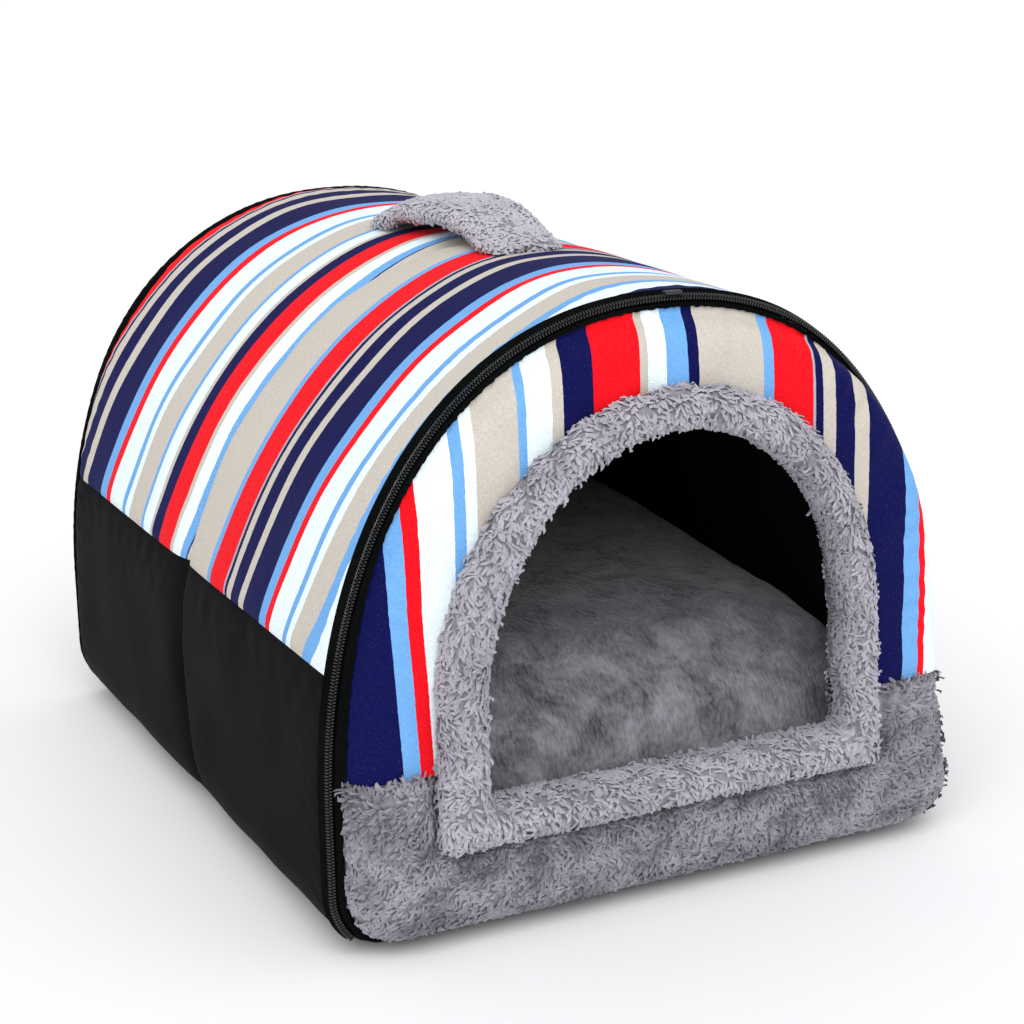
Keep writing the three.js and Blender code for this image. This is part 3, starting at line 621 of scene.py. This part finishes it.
# %% [markdown]
# ### Lining
# A thin black cloth hangs inside the tunnel, just off the padded walls, down behind the mat.
# It is one sheet of cloth, so it is cut flat and laid on the inside of the outline, with
# shallow waves where it isn't held.

# %% Lining
LINING_FOOT = length_at_corner(32)
LINING_DEPTH = BACK - FRONT - 2 * END
LINING_OUTSIDE, LINING_INSIDE = 10.5 * MM, 11.3 * MM
lining, across, along, outer = cut_cloth("lining_sheet", 2 * LINING_FOOT, LINING_DEPTH, 150, 80)
x, z, nx, nz = on_outline(across)
free = np.clip((z - 125 * MM) / (40 * MM), 0, 1)
wave = (0.2 + 1.6 * free) * MM * (waves(across, 90 * MM, 31, 0.6 * along) + 1)
inset = np.where(outer, LINING_OUTSIDE + wave, LINING_INSIDE + wave)
lay(lining, x - nx * inset, along + (FRONT + BACK) / 2, z - nz * inset)
finish_piece(lining, lining_cloth, "black_lining", "lining")

# %% [markdown]
# ## Striped front
# The front panel is a padded ring of canvas between the zip and the doorway's trim. It rises
# steeply from the zip and is nearly flat in its middle. Its stripes stand upright. The sheet
# is laid on spokes from the outline to the hole behind the trim, and its UV map holds where
# each corner lies across the panel, because here the cloth isn't bent along its stripes.

# %% Front panel sizes. The tables say how far ahead of the arch it lies at each inset from it
DOOR_HALF = 97 * MM
DOOR_TOP, DOOR_SPRING, DOOR_SILL = 236 * MM, 118 * MM, 74.5 * MM
SKIRT_TOP = 90 * MM
HOLE = 12.6 * MM
PANEL_EASE = 1.6 * MM
PANEL_AHEAD_MOST = 16 * MM
PANEL_INSET = np.array([3.4, 9.0, 10.5, 14, 18, 24, 34, 60, 120]) * MM
PANEL_AHEAD = np.array([1.7, 2.8, 7.0, 10.8, 13.2, 14.8, 16.0, 16.0, 16.0]) * MM
TUCKED_INSET = np.array([3.4, 2.3, 2.5, 4.6, 8.5, 15.5, 30, 60, 120]) * MM
TUCKED_AHEAD = np.array([1.7, 5.0, 8.5, 12.0, 14.0, 15.3, 16.0, 16.0, 16.0]) * MM
PANEL_EDGE = length_at_height(SKIRT_TOP + HALF_GAP)


def hole_place(share):
    """The edge of the panel's hole, from the skirt on the left over the arch to the right."""
    turn = np.linspace(0, math.pi, 400)
    rise = DOOR_TOP + HOLE * 0.9 - DOOR_SPRING
    x = np.concatenate([[-DOOR_HALF - HOLE], -(DOOR_HALF + HOLE) * np.cos(turn), [DOOR_HALF + HOLE]])
    z = np.concatenate([[SKIRT_TOP], DOOR_SPRING + rise * np.sin(turn), [SKIRT_TOP]])
    run = np.concatenate([[0], np.cumsum(np.hypot(np.diff(x), np.diff(z)))])
    at = share * run[-1]
    return np.interp(at, run, x), np.interp(at, run, z)


# %% Front panel: its spokes and how far its padding stands out
panel, around, inward, outer = cut_cloth("front_of_canvas", 2 * PANEL_EDGE, 1.0, 230, 40)
x, z, nx, nz = on_outline(around)
near_x, near_z = hole_place(around / (2 * PANEL_EDGE) + 0.5)
far_x, far_z = x - nx * PANEL_MARGIN, z - nz * PANEL_MARGIN
spoke = np.hypot(near_x - far_x, near_z - far_z)
inwards = (inward + 0.5) ** 1.25
row = PANEL_MARGIN + inwards * spoke
over_zip = tucked(around)
inset = row * (1 - over_zip) + np.interp(row, PANEL_INSET, TUCKED_INSET) * over_zip
ahead = eased(row, PANEL_INSET, PANEL_AHEAD, PANEL_EASE) * (1 - over_zip)
ahead += eased(row, PANEL_INSET, TUCKED_AHEAD, PANEL_EASE) * over_zip
rim = np.exp(-((inset - 14 * MM) ** 2) / (11 * MM) ** 2)
pucker = 0.5 * waves(around, 16 * MM, 41) * rim
soft = 0.5 * waves(around, 60 * MM, 42, inset) * (1 - np.exp(-np.abs(inwards) * 6))
ahead += (pucker + soft) * MM
share = (inset - PANEL_MARGIN) / spoke
x, z = far_x + (near_x - far_x) * share, far_z + (near_z - far_z) * share
z = np.maximum(z, SKIRT_TOP + 0.1 * MM)

# %% Front panel: its stripes, pulled to the right at the lower left and beside the zip
lower_left = np.clip((170 * MM - z) / (80 * MM), 0, 1) * np.clip((-x - 100 * MM) / (30 * MM), 0, 1)
seen_x = pressed(x, FRONT + 0 * x, z)
pulled = seen_x - 4.5 * MM * lower_left - 0.25 * (PANEL_AHEAD_MOST - ahead) * (1 - over_zip)
mark_cloth(panel, pulled, z)
lay(panel, x, FRONT - np.where(outer, ahead, PANEL_INSIDE), z)
finish_piece(panel, canvas_front, "striped_canvas", "front_panel")

# %% [markdown]
# ## Grey plush
# Long curly polyester pile. Its fibres hang together in locks 4 to 7 mm long that curl over
# one another, light at their tips and dark between, where shade falls, and that is all the eye
# sees of it. Each lock is modelled: a small curved, tapering shape of a few faces, rooted in the
# padded body. Its UV map counts the locks and tells how far it is from root to tip, which the
# material turns into painted shade, dark at the roots and light at the tips, and into fine
# fibres. The locks take more than half of their shading direction from the body under them,
# because light passes through real pile and evens it out.


# %% Plush materials
def plush(name, root, tip, along_lock, patchy):
    """Pile: painted shade from dark roots to light tips on the locks, and mottled by patches."""
    material, tree, shader = new_material(name)
    coordinates = add(tree, "TexCoord")
    patch = add(tree, "TexNoise", {"Vector": coordinates.outputs["Object"], "Scale": 42.0, "Detail": 3.0})
    if along_lock:
        axes = add(tree, "SeparateXYZ", {"Vector": coordinates.outputs["UV"]})
        number = add(tree, "Math", {0: axes.outputs["X"]}, operation="FLOOR")
        chance = add(tree, "TexWhiteNoise", {"W": number.outputs[0]}, noise_dimensions="1D").outputs["Value"]
        stretched = add(tree, "Mapping", {"Vector": coordinates.outputs["UV"], "Scale": (9.0, 1.3, 1.0)})
        fibres = add(tree, "TexNoise", {"Vector": stretched.outputs[0], "Scale": 1.0, "Detail": 1.0})
        own = add(tree, "MapRange", {"Value": chance, "To Min": -0.3, "To Max": 0.05})
        fine = {"From Min": 0.3, "From Max": 0.7, "To Min": -0.14, "To Max": 0.14}
        fine = add(tree, "MapRange", {"Value": fibres.outputs["Fac"], **fine})
        both = add(tree, "Math", {0: own.outputs[0], 1: fine.outputs[0]}, operation="ADD")
        reach = add(tree, "Math", {0: axes.outputs["Y"], 1: both.outputs[0]}, operation="ADD")
    else:
        fine = {"Vector": coordinates.outputs["Object"], "Scale": 420.0, "Detail": 3.0}
        fine = add(tree, "TexNoise", fine).outputs["Fac"]
        reach = add(tree, "MapRange", {"Value": fine, "From Min": 0.3, "From Max": 0.75})
        bump = add(tree, "Bump", {"Height": reach.outputs[0], "Strength": 0.8, "Distance": 1.0 * MM})
        wire(tree, shader, {"Normal": bump.outputs[0]})
    mottle = {"From Min": 0.34, "From Max": 0.6, "To Min": -patchy, "To Max": 0.1}
    mottle = add(tree, "MapRange", {"Value": patch.outputs["Fac"], **mottle})
    total = {0: reach.outputs[0], 1: mottle.outputs[0]}
    total = add(tree, "Math", total, operation="ADD", use_clamp=True).outputs[0]
    # On the locks, the darker root colour is painted shade between them.
    colour = add(tree, "Mix", {0: total, 6: linear(root), 7: linear(tip)}, data_type="RGBA")
    wire(tree, shader, {
        "Base Color": colour.outputs[2], "Roughness": 0.9, "Specular IOR Level": 0.08,
        "Sheen Weight": 0.3, "Sheen Roughness": 0.5, "Sheen Tint": linear("#dcdae2"),
    })
    return material


plush_ground = plush("grey_plush_ground", "#7d7a82", "#9b98a0", False, 0.2)
# These are copies of one grey plush. The strap's is lighter, painted light for its place on top of the roof.
# The skirt's is darker and more blotched, painted shade for its place low at the foot.
strap_locks_painted_light = plush("grey_plush_pile_strap_painted_light", "#96939b", "#c2bfc8", True, 0.15)
plush_locks = plush("grey_plush_pile", "#84818a", "#b8b5be", True, 0.3)
skirt_locks_painted_shade = plush("grey_plush_pile_low_painted_shade", "#615e66", "#a29fa8", True, 0.65)
print("plush materials")


# %% Bodies under the pile
def body_of(node, name, voxel, sunk, rounds):
    """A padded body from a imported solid: remeshed, smoothed and sunk by the pile's height."""
    body = new_object(name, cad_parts[node].data.copy())
    close_seams(body)
    apply_modifier(body, "REMESH", voxel_size=voxel)
    apply_modifier(body, "SMOOTH", iterations=rounds)
    normals = directions(body)
    sink = np.full(len(normals), sunk)
    if node != "handle":
        # The side that faces back lies on the panel, without pile
        sink = sink * (1 - np.clip((normals[:, 1] - 0.2) / 0.5, 0, 1))
    moved = places(body) - normals * sink[:, None]
    moved[:, 0] = pressed(*moved.T)
    put(body, moved)
    bpy.ops.object.shade_smooth()
    return body


# %% Growing locks: where they stand
TRIES = 4
CLOSEST = 0.8


def even_points(body, spacing, grows, seed):
    """Evenly spread random places on a body with their normals, where grows() allows."""
    rng = np.random.default_rng(seed)
    body.data.calc_loop_triangles()
    corners = np.zeros(len(body.data.loop_triangles) * 3, int)
    body.data.loop_triangles.foreach_get("vertices", corners)
    corners = corners.reshape(-1, 3)
    spots = places(body)
    a, b, c = (spots[corners[:, k]] for k in range(3))
    areas = np.linalg.norm(np.cross(b - a, c - a), axis=1) / 2
    count = int(areas.sum() / spacing**2 * TRIES)
    chosen = rng.choice(len(areas), count, p=areas / areas.sum())
    mix = rng.dirichlet((1, 1, 1), count)[:, :, None]
    point = (spots[corners[chosen]] * mix).sum(1)
    normal = (directions(body)[corners[chosen]] * mix).sum(1)
    normal /= np.linalg.norm(normal, axis=1)[:, None]
    allowed = grows(point, normal)
    point, normal = point[allowed], normal[allowed]
    taken, kept = {}, []
    cells = np.floor(point / spacing).astype(int)
    near = [(i, j, k) for i in (-1, 0, 1) for j in (-1, 0, 1) for k in (-1, 0, 1)]
    for index, (cell, spot) in enumerate(zip(cells.tolist(), point.tolist())):
        close = False
        for i, j, k in near:
            other = taken.get((cell[0] + i, cell[1] + j, cell[2] + k))
            if other is None:
                continue
            if sum((p - q) ** 2 for p, q in zip(spot, other)) < (spacing * CLOSEST) ** 2:
                close = True
                break
        if not close:
            taken[tuple(cell)] = spot
            kept.append(index)
    return point[kept], normal[kept]


# %% Growing locks: which way they lie
SWIRL_LENGTH = 32 * MM


def comb(point, normal, lie, wild, seed):
    """A direction for each lock: the way the pile lies, a slow swirl and some of its own."""
    rng = np.random.default_rng(seed)
    swirl = np.zeros(point.shape)
    for _ in range(8):
        wave = rng.normal(size=3) * 2 * math.pi / SWIRL_LENGTH
        swirl += np.sin(point @ wave + rng.uniform(0, 6))[:, None] * rng.normal(size=3)
    flow = lie(point, normal) + 0.19 * swirl + wild * rng.normal(size=point.shape)
    flow -= (flow * normal).sum(1)[:, None] * normal
    return flow / np.linalg.norm(flow, axis=1)[:, None]


# %% Growing locks: their shape. Each has three rings of three corners, and a tip
LOCK_RINGS = [(0.0, 0.75), (0.4, 1.0), (0.8, 0.92), (1.0, 0.0)]  # share of the length, and of the width
LOCK_CORNERS = 10
LOCK_SIDES = [(0, 1, 4, 3), (1, 2, 5, 4), (2, 0, 3, 5), (3, 4, 7, 6), (4, 5, 8, 7), (5, 3, 6, 8)]
LOCK_ENDS = [(6, 7, 9), (7, 8, 9), (8, 6, 9), (0, 2, 1)]
LOCK_ACROSS = [0.1, 0.9, 0.5, 0.1, 0.9, 0.5, 0.1, 0.9, 0.5, 0.5]
LOCK_REACH = [0.1, 0.1, 0.2, 0.6, 0.6, 0.75, 0.85, 0.85, 1.0, 1.0]
ROOT = 0.6 * MM
BODY_LIGHT = 1.2


def grow_locks(name, body, spacing, length, width, height, grows, lie, seed, wild=0.22):
    """All the locks of one body, as one mesh."""
    point, normal = even_points(body, spacing, grows, seed)
    flow = comb(point, normal, lie, wild, seed + 1)
    rng = np.random.default_rng(seed + 2)
    count = len(point)
    length = np.broadcast_to(length(point) if callable(length) else length, count)[:, None]
    long = length * rng.uniform(0.75, 1.25, count)[:, None]
    tall = height * rng.uniform(0.7, 1.3, count)[:, None]
    wide = width * rng.uniform(0.8, 1.25, count)[:, None]
    curl = length * rng.uniform(-0.5, 0.5, count)[:, None]
    phase = rng.uniform(0, math.pi, count)[:, None]
    beside = np.cross(normal, flow)
    rings = []
    for along, share in LOCK_RINGS:
        rise = tall * (1 - (1 - along) ** 2) - ROOT * (1 - along)
        sway = curl * (np.sin(math.pi * 1.3 * along + phase) - np.sin(phase))
        centre = point + normal * rise + flow * long * along**1.2 + beside * sway
        if share == 0:
            rings.append(centre - normal * tall * 0.3)
            continue
        rings += [centre - beside * wide * share, centre + beside * wide * share]
        rings.append(centre + normal * wide * share * 0.75)
    corners = np.stack(rings, 1).reshape(-1, 3)
    starts = np.arange(count)[:, None, None] * LOCK_CORNERS
    faces = (starts + np.array(LOCK_SIDES)).reshape(-1, 4).tolist()
    faces += (starts + np.array(LOCK_ENDS)).reshape(-1, 3).tolist()
    mesh = bpy.data.meshes.new(name)
    mesh.from_pydata(corners.tolist(), [], faces)
    pile = new_object(name, mesh)
    mesh.uv_layers.new(name="lock")
    number = np.repeat(np.arange(count), LOCK_CORNERS)
    mark_cloth(pile, number + np.tile(LOCK_ACROSS, count), np.tile(LOCK_REACH, count))
    mesh.shade_smooth()
    light = directions(pile) + BODY_LIGHT * np.repeat(normal, LOCK_CORNERS, 0)
    light /= np.linalg.norm(light, axis=1)[:, None]
    mesh.normals_split_custom_set_from_vertices(light.tolist())
    print(name, "has", count, "locks")
    return pile


# %% Doorway trim: its pile hangs down, and is shorter where the band turns in at the doorway
TRIM_NARROWER, TRIM_SHIFT = 3.2 * MM, 2.5 * MM
DOOR_MIDDLE = 130 * MM


def off_the_crown(p, n):
    """The pile hangs down, and falls off both sides of the band."""
    return np.array([0, 0, -1]) + 0.4 * n * np.array([1, 0, 1])


def trim_length(p):
    return (5.6 - 3.0 * smooth(p[:, 1], FRONT - 16 * MM, FRONT - 5 * MM)) * MM


trim = body_of("door_trim", "doorway_trim", voxel=3 * MM, sunk=1.8 * MM, rounds=6)
spots, normals = places(trim), directions(trim)
to_middle = np.stack([-spots[:, 0], 0 * spots[:, 0], DOOR_MIDDLE - spots[:, 2]], 1)
to_middle /= np.linalg.norm(to_middle, axis=1)[:, None]
facing = (normals * to_middle).sum(1)
spots -= to_middle * (TRIM_NARROWER * smooth(facing, 0.1, 0.8))[:, None]
upright = smooth(np.abs(spots[:, 0]), 60 * MM, 110 * MM)
spots[:, 0] -= TRIM_SHIFT * smooth(-facing, 0.1, 0.7) * upright
put(trim, spots)
finish_piece(trim, plush_ground, "grey_plush", "door_trim")
trim_pile = grow_locks(
    "doorway_trim_pile", trim, spacing=1.85 * MM, length=trim_length, width=0.95 * MM, height=1.25 * MM,
    grows=lambda p, n: (n[:, 1] < 0.3) & (p[:, 1] < FRONT + 2 * MM), lie=off_the_crown, seed=100,
)
finish_piece(trim_pile, plush_locks, "grey_plush")

# %% Skirt across the foot of the front, pressed in where the trim is sewn over it
TRIM_OUT = 28.5 * MM
GROOVE, GROOVE_WIDTH = 3.5 * MM, 2.2 * MM
SWOLLEN = 6.0 * MM
skirt = body_of("front_skirt", "front_skirt_body", voxel=2.5 * MM, sunk=1.5 * MM, rounds=6)
finish_piece(skirt, plush_ground, "grey_plush", "front_skirt")


def beyond_trim(p):
    """How far a place is from the trim's outer edge, negative under the trim."""
    across = np.abs(p[:, 0]) - DOOR_HALF - TRIM_OUT
    below = DOOR_SILL - TRIM_OUT * 0.82 - p[:, 2]
    return np.hypot(np.maximum(across, 0), np.maximum(below, 0)) + np.minimum(np.maximum(across, below), 0)


spots = places(skirt)
groove = GROOVE * np.exp(-((beyond_trim(spots) / GROOVE_WIDTH) ** 2))
spots[:, 1] += groove * (directions(skirt)[:, 1] < 0.3)
right_end = smooth(spots[:, 0], 130 * MM, 165 * MM)
spots[:, 0] += SWOLLEN * right_end * smooth(FRONT - spots[:, 1], 2 * MM, 9 * MM)
put(skirt, spots)


# %% Skirt's pile
def skirt_shows(p, n):
    """Ahead of the zip, and not under the trim."""
    edge = FRONT - np.where(p[:, 0] > 150 * MM, 0.5, 3) * MM
    return (n[:, 1] < 0.7) & (p[:, 1] < edge) & (beyond_trim(p) > -1.0 * MM)


def down_and_out(p, n):
    """Down in the skirt's middle, out at its ends, up at its top and in towards the trim."""
    out = np.sign(p[:, 0]) * np.clip((np.abs(p[:, 0]) - 50 * MM) / (80 * MM), 0, 1)
    up = np.clip((p[:, 2] - 76 * MM) / (7 * MM), 0, 1)
    beside = np.abs(p[:, 0]) > DOOR_HALF + TRIM_OUT - 2 * MM
    to_trim = 1 - smooth(beyond_trim(p), 1 * MM, 5 * MM)
    sideways = out * (1 - 0.5 * up) - 2.2 * np.sign(p[:, 0]) * to_trim * beside
    return np.stack([sideways, 0 * up, -0.75 + 1.8 * up + 2.0 * to_trim * ~beside], 1)


def skirt_length(p):
    """Longer at the skirt's top, where it falls over the stripes."""
    return (5.8 + 1.4 * smooth(p[:, 2], 76 * MM, 86 * MM)) * MM


skirt_pile = grow_locks(
    "front_skirt_pile", skirt, spacing=1.8 * MM, length=skirt_length, width=0.95 * MM, height=1.3 * MM,
    grows=skirt_shows, lie=down_and_out, seed=200,
)
finish_piece(skirt_pile, skirt_locks_painted_shade, "grey_plush")

# %% Carrying strap: it rises in its middle, and its back end lies to the left and lower
STRAP_REAR = (-10 * MM, 4 * MM)
STRAP_CROWN, STRAP_REAR_DROP, STRAP_FRONT_DROP = 1.8, 1.8, 1.5 * MM
strap = body_of("handle", "carrying_strap", voxel=2.5 * MM, sunk=0.8 * MM, rounds=4)
spots = places(strap)
rear = smooth(spots[:, 1], -5 * MM, 67 * MM)
spots[:, 0] += STRAP_REAR[0] * rear
spots[:, 1] += STRAP_REAR[1] * rear
crown = STRAP_CROWN * np.exp(-((spots[:, 1] / (34 * MM)) ** 2))
spots[:, 2] += (crown - STRAP_REAR_DROP * rear) * MM
front_end = smooth(-spots[:, 1], 30 * MM, 50 * MM)
spots[:, 2] -= STRAP_FRONT_DROP * front_end * smooth(spots[:, 2], 300 * MM, 306 * MM)
put(strap, spots)
finish_piece(strap, plush_ground, "grey_plush", "handle")
strap_pile = grow_locks(
    "carrying_strap_pile", strap, spacing=1.5 * MM, length=3.6 * MM, width=0.95 * MM, height=0.75 * MM,
    grows=lambda p, n: n[:, 2] > -0.9, lie=lambda p, n: np.array([-0.5, -0.3, -0.8]), seed=300, wild=0.35,
)
finish_piece(strap_pile, strap_locks_painted_light, "grey_plush")

# %% [markdown]
# ## Mat
# A filled cushion in short plush. Pressing foam or wadding into a cover rounds its edges and
# crowns its top, which a cloth simulation with inside pressure gives: the solid is remeshed,
# blown up for twenty frames and held to a small movement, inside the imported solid's box.

# %% Mat
MAT_SWELLS = 4 * MM
mat = body_of("mat", "plush_mat", voxel=5.6 * MM, sunk=2.0 * MM, rounds=2)
before = places(mat)
pick(mat)
filling = mat.modifiers.new("filling", "CLOTH")
filling.settings.use_pressure = True
filling.settings.uniform_pressure_force = 4
filling.settings.effector_weights.gravity = 0
for step in range(1, 21):
    bpy.context.scene.frame_set(step)
bpy.ops.object.modifier_apply(modifier=filling.name)
bpy.context.scene.frame_set(1)
moved = places(mat) - before
distance = np.linalg.norm(moved, axis=1)[:, None]
moved *= np.minimum(1, MAT_SWELLS / np.maximum(distance, 1e-9))
mat_low, mat_high = (np.array(corner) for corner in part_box("mat"))
put(mat, np.clip(before + moved, mat_low, mat_high))
pick(mat)
apply_modifier(mat, "SUBSURF", levels=1, render_levels=1)
bpy.ops.object.shade_smooth()
print("the filling alone would move the cover by up to", round(float(distance.max()) / MM, 1), "mm")


# %% Mat material
def velvet(name, dark, pale):
    """Short brushed pile: mottled where it lies in different directions."""
    material, tree, shader = new_material(name)
    place = add(tree, "TexCoord").outputs["Object"]
    cloud = {"Scale": 44.0, "Detail": 6.0, "Roughness": 0.62, "Distortion": 0.5}
    patch = add(tree, "TexNoise", {"Vector": place, **cloud})
    brushed = {"Scale": (700.0, 260.0, 260.0), "Rotation": (0, 0, 0.5)}
    brushed = add(tree, "Mapping", {"Vector": place, **brushed})
    streak = add(tree, "TexNoise", {"Vector": brushed.outputs[0], "Scale": 1.0, "Detail": 2.0})
    wide = add(tree, "MapRange", {"Value": patch.outputs["Fac"], "From Min": 0.36, "From Max": 0.64})
    fine = add(tree, "MapRange", {"Value": streak.outputs["Fac"], "From Min": 0.3, "From Max": 0.7})
    both = add(tree, "Mix", {0: 0.35, 2: wide.outputs[0], 3: fine.outputs[0]})
    colour = add(tree, "Mix", {0: both.outputs[0], 6: linear(dark), 7: linear(pale)}, data_type="RGBA")
    bump = add(tree, "Bump", {"Height": both.outputs[0], "Strength": 0.9, "Distance": 1.6 * MM})
    wire(tree, shader, {
        "Base Color": colour.outputs[2], "Normal": bump.outputs[0], "Roughness": 0.9,
        "Specular IOR Level": 0.1, "Sheen Weight": 0.4, "Sheen Roughness": 0.45,
    })
    return material


mat_velvet = velvet("short_grey_plush", "#403d44", "#a29ea6")
finish_piece(mat, mat_velvet, "dark_plush", "mat")

# %% [markdown]
# ## Zip, tapes and bindings
# A coil zip joins the front panel to the tunnel along the corner between them: two rows of
# small plastic turns on a black tape. The tape shows as a band on the panel's margin and a
# narrower one on the roof's. Tapes and piping are strips that follow the outline, so they are
# cut as long flat strips and laid on it, as the walls are.

# %% Zip tape on the front panel: how wide it shows at each height
TAPE_HEIGHTS = np.array([0, 91.5, 155, 200, 300]) * MM
TAPE_REACH = np.array([6.0, 9.0, 7.8, 5.7, 5.2]) * MM
TAPE = 6 * MM
TAPE_BESIDE_PLUSH, TAPE_TUCKED = 6.0 * MM, 3.9 * MM
TAPE_UNDER = 0.9 * MM
TAPE_END = length_at_corner(34)
tape, around, across, outer = cut_cloth("zip_tape_front", 2 * TAPE_END, TAPE, 500, 6)
x, z, nx, nz = on_outline(around)
beside_plush = z < 91 * MM
reach = np.where(beside_plush, TAPE_BESIDE_PLUSH, eased(z, TAPE_HEIGHTS, TAPE_REACH, 4 * MM))
reach = reach + 0.25 * MM * waves(around, 7 * MM, 51) * ~beside_plush
reach += (TAPE_TUCKED - reach) * tucked(around)
share = across / TAPE + 0.5
inset = PANEL_MARGIN - TAPE_UNDER + share * (reach - PANEL_MARGIN + TAPE_UNDER)
ahead = np.interp(inset, PANEL_INSET, PANEL_AHEAD) + np.where(outer, 1.4, 0.5) * MM
ahead = np.where(share < 0.1, -0.6 * MM, ahead)
lay(tape, x - nx * inset, FRONT - ahead, z - nz * inset)
finish_piece(tape, tape_cloth, "black_tape", "zip_tape")

# %% Zip tape on the roof and sides: tucked in at the corner, and lying on the cloth behind it
ROOF_TAPE = 4 * MM
ROOF_TAPE_END = length_at_corner(44.3)
roof_tape, around, across, outer = cut_cloth("zip_tape_on_roof", 2 * ROOF_TAPE_END, ROOF_TAPE, 500, 5)
x, z, nx, nz = on_outline(around)
y = across + ROOF_TAPE / 2 + FRONT + END
rise = np.interp(y, [FRONT + END, FRONT + END + ROOF_TAPE], [-0.6 * MM, 1.1 * MM])
rise += np.where(outer, 1.1, 0.3) * MM
lay(roof_tape, x + nx * rise, y, z + nz * rise)
finish_piece(roof_tape, tape_cloth, "black_tape", "zip_tape_roof")

# %% Zip material
coil_material, tree, shader = new_material("moulded_black_polyester")
place = add(tree, "TexCoord").outputs["Object"]
scuff = add(tree, "TexNoise", {"Vector": place, "Scale": 320.0, "Detail": 2.0}).outputs["Fac"]
tint = add(tree, "Mix", {0: scuff, 6: linear("#0d0d0e"), 7: linear("#303034")}, data_type="RGBA")
rough = add(tree, "MapRange", {"Value": scuff, "To Min": 0.4, "To Max": 0.6})
wire(tree, shader, {"Base Color": tint.outputs[2], "Roughness": rough.outputs[0]})

# %% Zip teeth: one tooth is modelled and copied along both rows, a little coarser than real
COIL_END = length_at_corner(46)
TOOTH_PITCH = 1.6 * MM
TEETH_ROWS = [(0, 1.0, -0.4, 3.4), (0.5, 2.6, -1.3, 1.9)]  # shift in teeth; ahead, lift, size in mm
bpy.ops.object.select_all(action="DESELECT")
bpy.ops.mesh.primitive_ico_sphere_add(subdivisions=1, radius=0.5)
tooth = bpy.context.object
tooth_places = places(tooth)
tooth_faces = [list(face.vertices) for face in tooth.data.polygons]
bpy.data.objects.remove(tooth)


def teeth_along_outline(name, s, y, lift, size):
    """One joined mesh of teeth at places on the outline."""
    x, z, nx, nz = on_outline(s)
    along = np.stack([nz, np.zeros(len(s)), -nx], 1)
    outwards = np.stack([nx, np.zeros(len(s)), nz], 1)
    middle = np.stack([x, y, z], 1) + outwards * lift[:, None]
    backwards = np.array([0.0, 1.0, 0.0])
    corners = [
        middle + along * TOOTH_PITCH * 0.66 * a + backwards * size[:, None] * b + outwards * size[:, None] * c
        for a, b, c in tooth_places
    ]
    for spot in corners:
        spot[:, 0] = pressed(*spot.T)
    count = len(tooth_places)
    faces = [[k + i * count for k in face] for i in range(len(s)) for face in tooth_faces]
    mesh = bpy.data.meshes.new(name)
    mesh.from_pydata(np.stack(corners, 1).reshape(-1, 3).tolist(), [], faces)
    mesh.shade_smooth()
    return new_object(name, mesh)


row = np.arange(-COIL_END, COIL_END, TOOTH_PITCH)
shift, ahead, lift, size = (np.repeat(column, len(row)) for column in zip(*TEETH_ROWS))
teeth_s = np.tile(row, len(TEETH_ROWS)) + shift * TOOTH_PITCH
teeth = teeth_along_outline("zip_teeth", teeth_s, FRONT - ahead * MM, lift * MM, size * MM)
finish_piece(teeth, coil_material, "zip_plastic", "zip_coil")


# %% Piping: a tube of cloth rolled round the outline
def piping(name, low, high, middle_y, radius, swell, slot, *nodes):
    """Round piping along the outline. Over the arch it swells and rolls forward onto the roof."""
    tube, around, turn, outer = cut_cloth(name, high - low, 1.0, 420, 12)
    s = around + (low + high) / 2
    x, z, nx, nz = on_outline(s)
    angle = turn * 2 * math.pi
    more = swell * smooth(z, 165 * MM, 225 * MM)
    size = (radius + more) * np.where(outer, 1, 0.4) * (1 + 0.05 * waves(s, 9 * MM, 61))
    out = size * np.cos(angle) - 1.2 * MM + 0.8 * more * (1 - smooth(z, 245 * MM, 290 * MM))
    y = middle_y - 3.6 * more + (size + 2.2 * more) * np.sin(angle)
    lay(tube, x + nx * out, y, np.maximum(z + nz * out, 0.3 * MM))
    finish_piece(tube, tape_cloth, slot, *nodes)


piping("zip_cord", -COIL_END, COIL_END, FRONT - 1.2 * MM, 1.35 * MM, 0, "zip_plastic")
piping(
    "back_piping", -HALF_LENGTH, HALF_LENGTH, BACK + 1.2 * MM, 1.9 * MM, 1.3 * MM, "black_tape", "back_binding"
)
print("zip and piping")

# %% The nodes that stay as packed get their finishes
for node, material in {
    "zip_slider": coil_material,
    "front_binding": tape_cloth,
    "side_binding_left": tape_cloth,
    "side_binding_right": tape_cloth,
}.items():
    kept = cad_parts[node]
    kept.data.materials.clear()
    kept.data.materials.append(material)
print("kept nodes have their finishes")
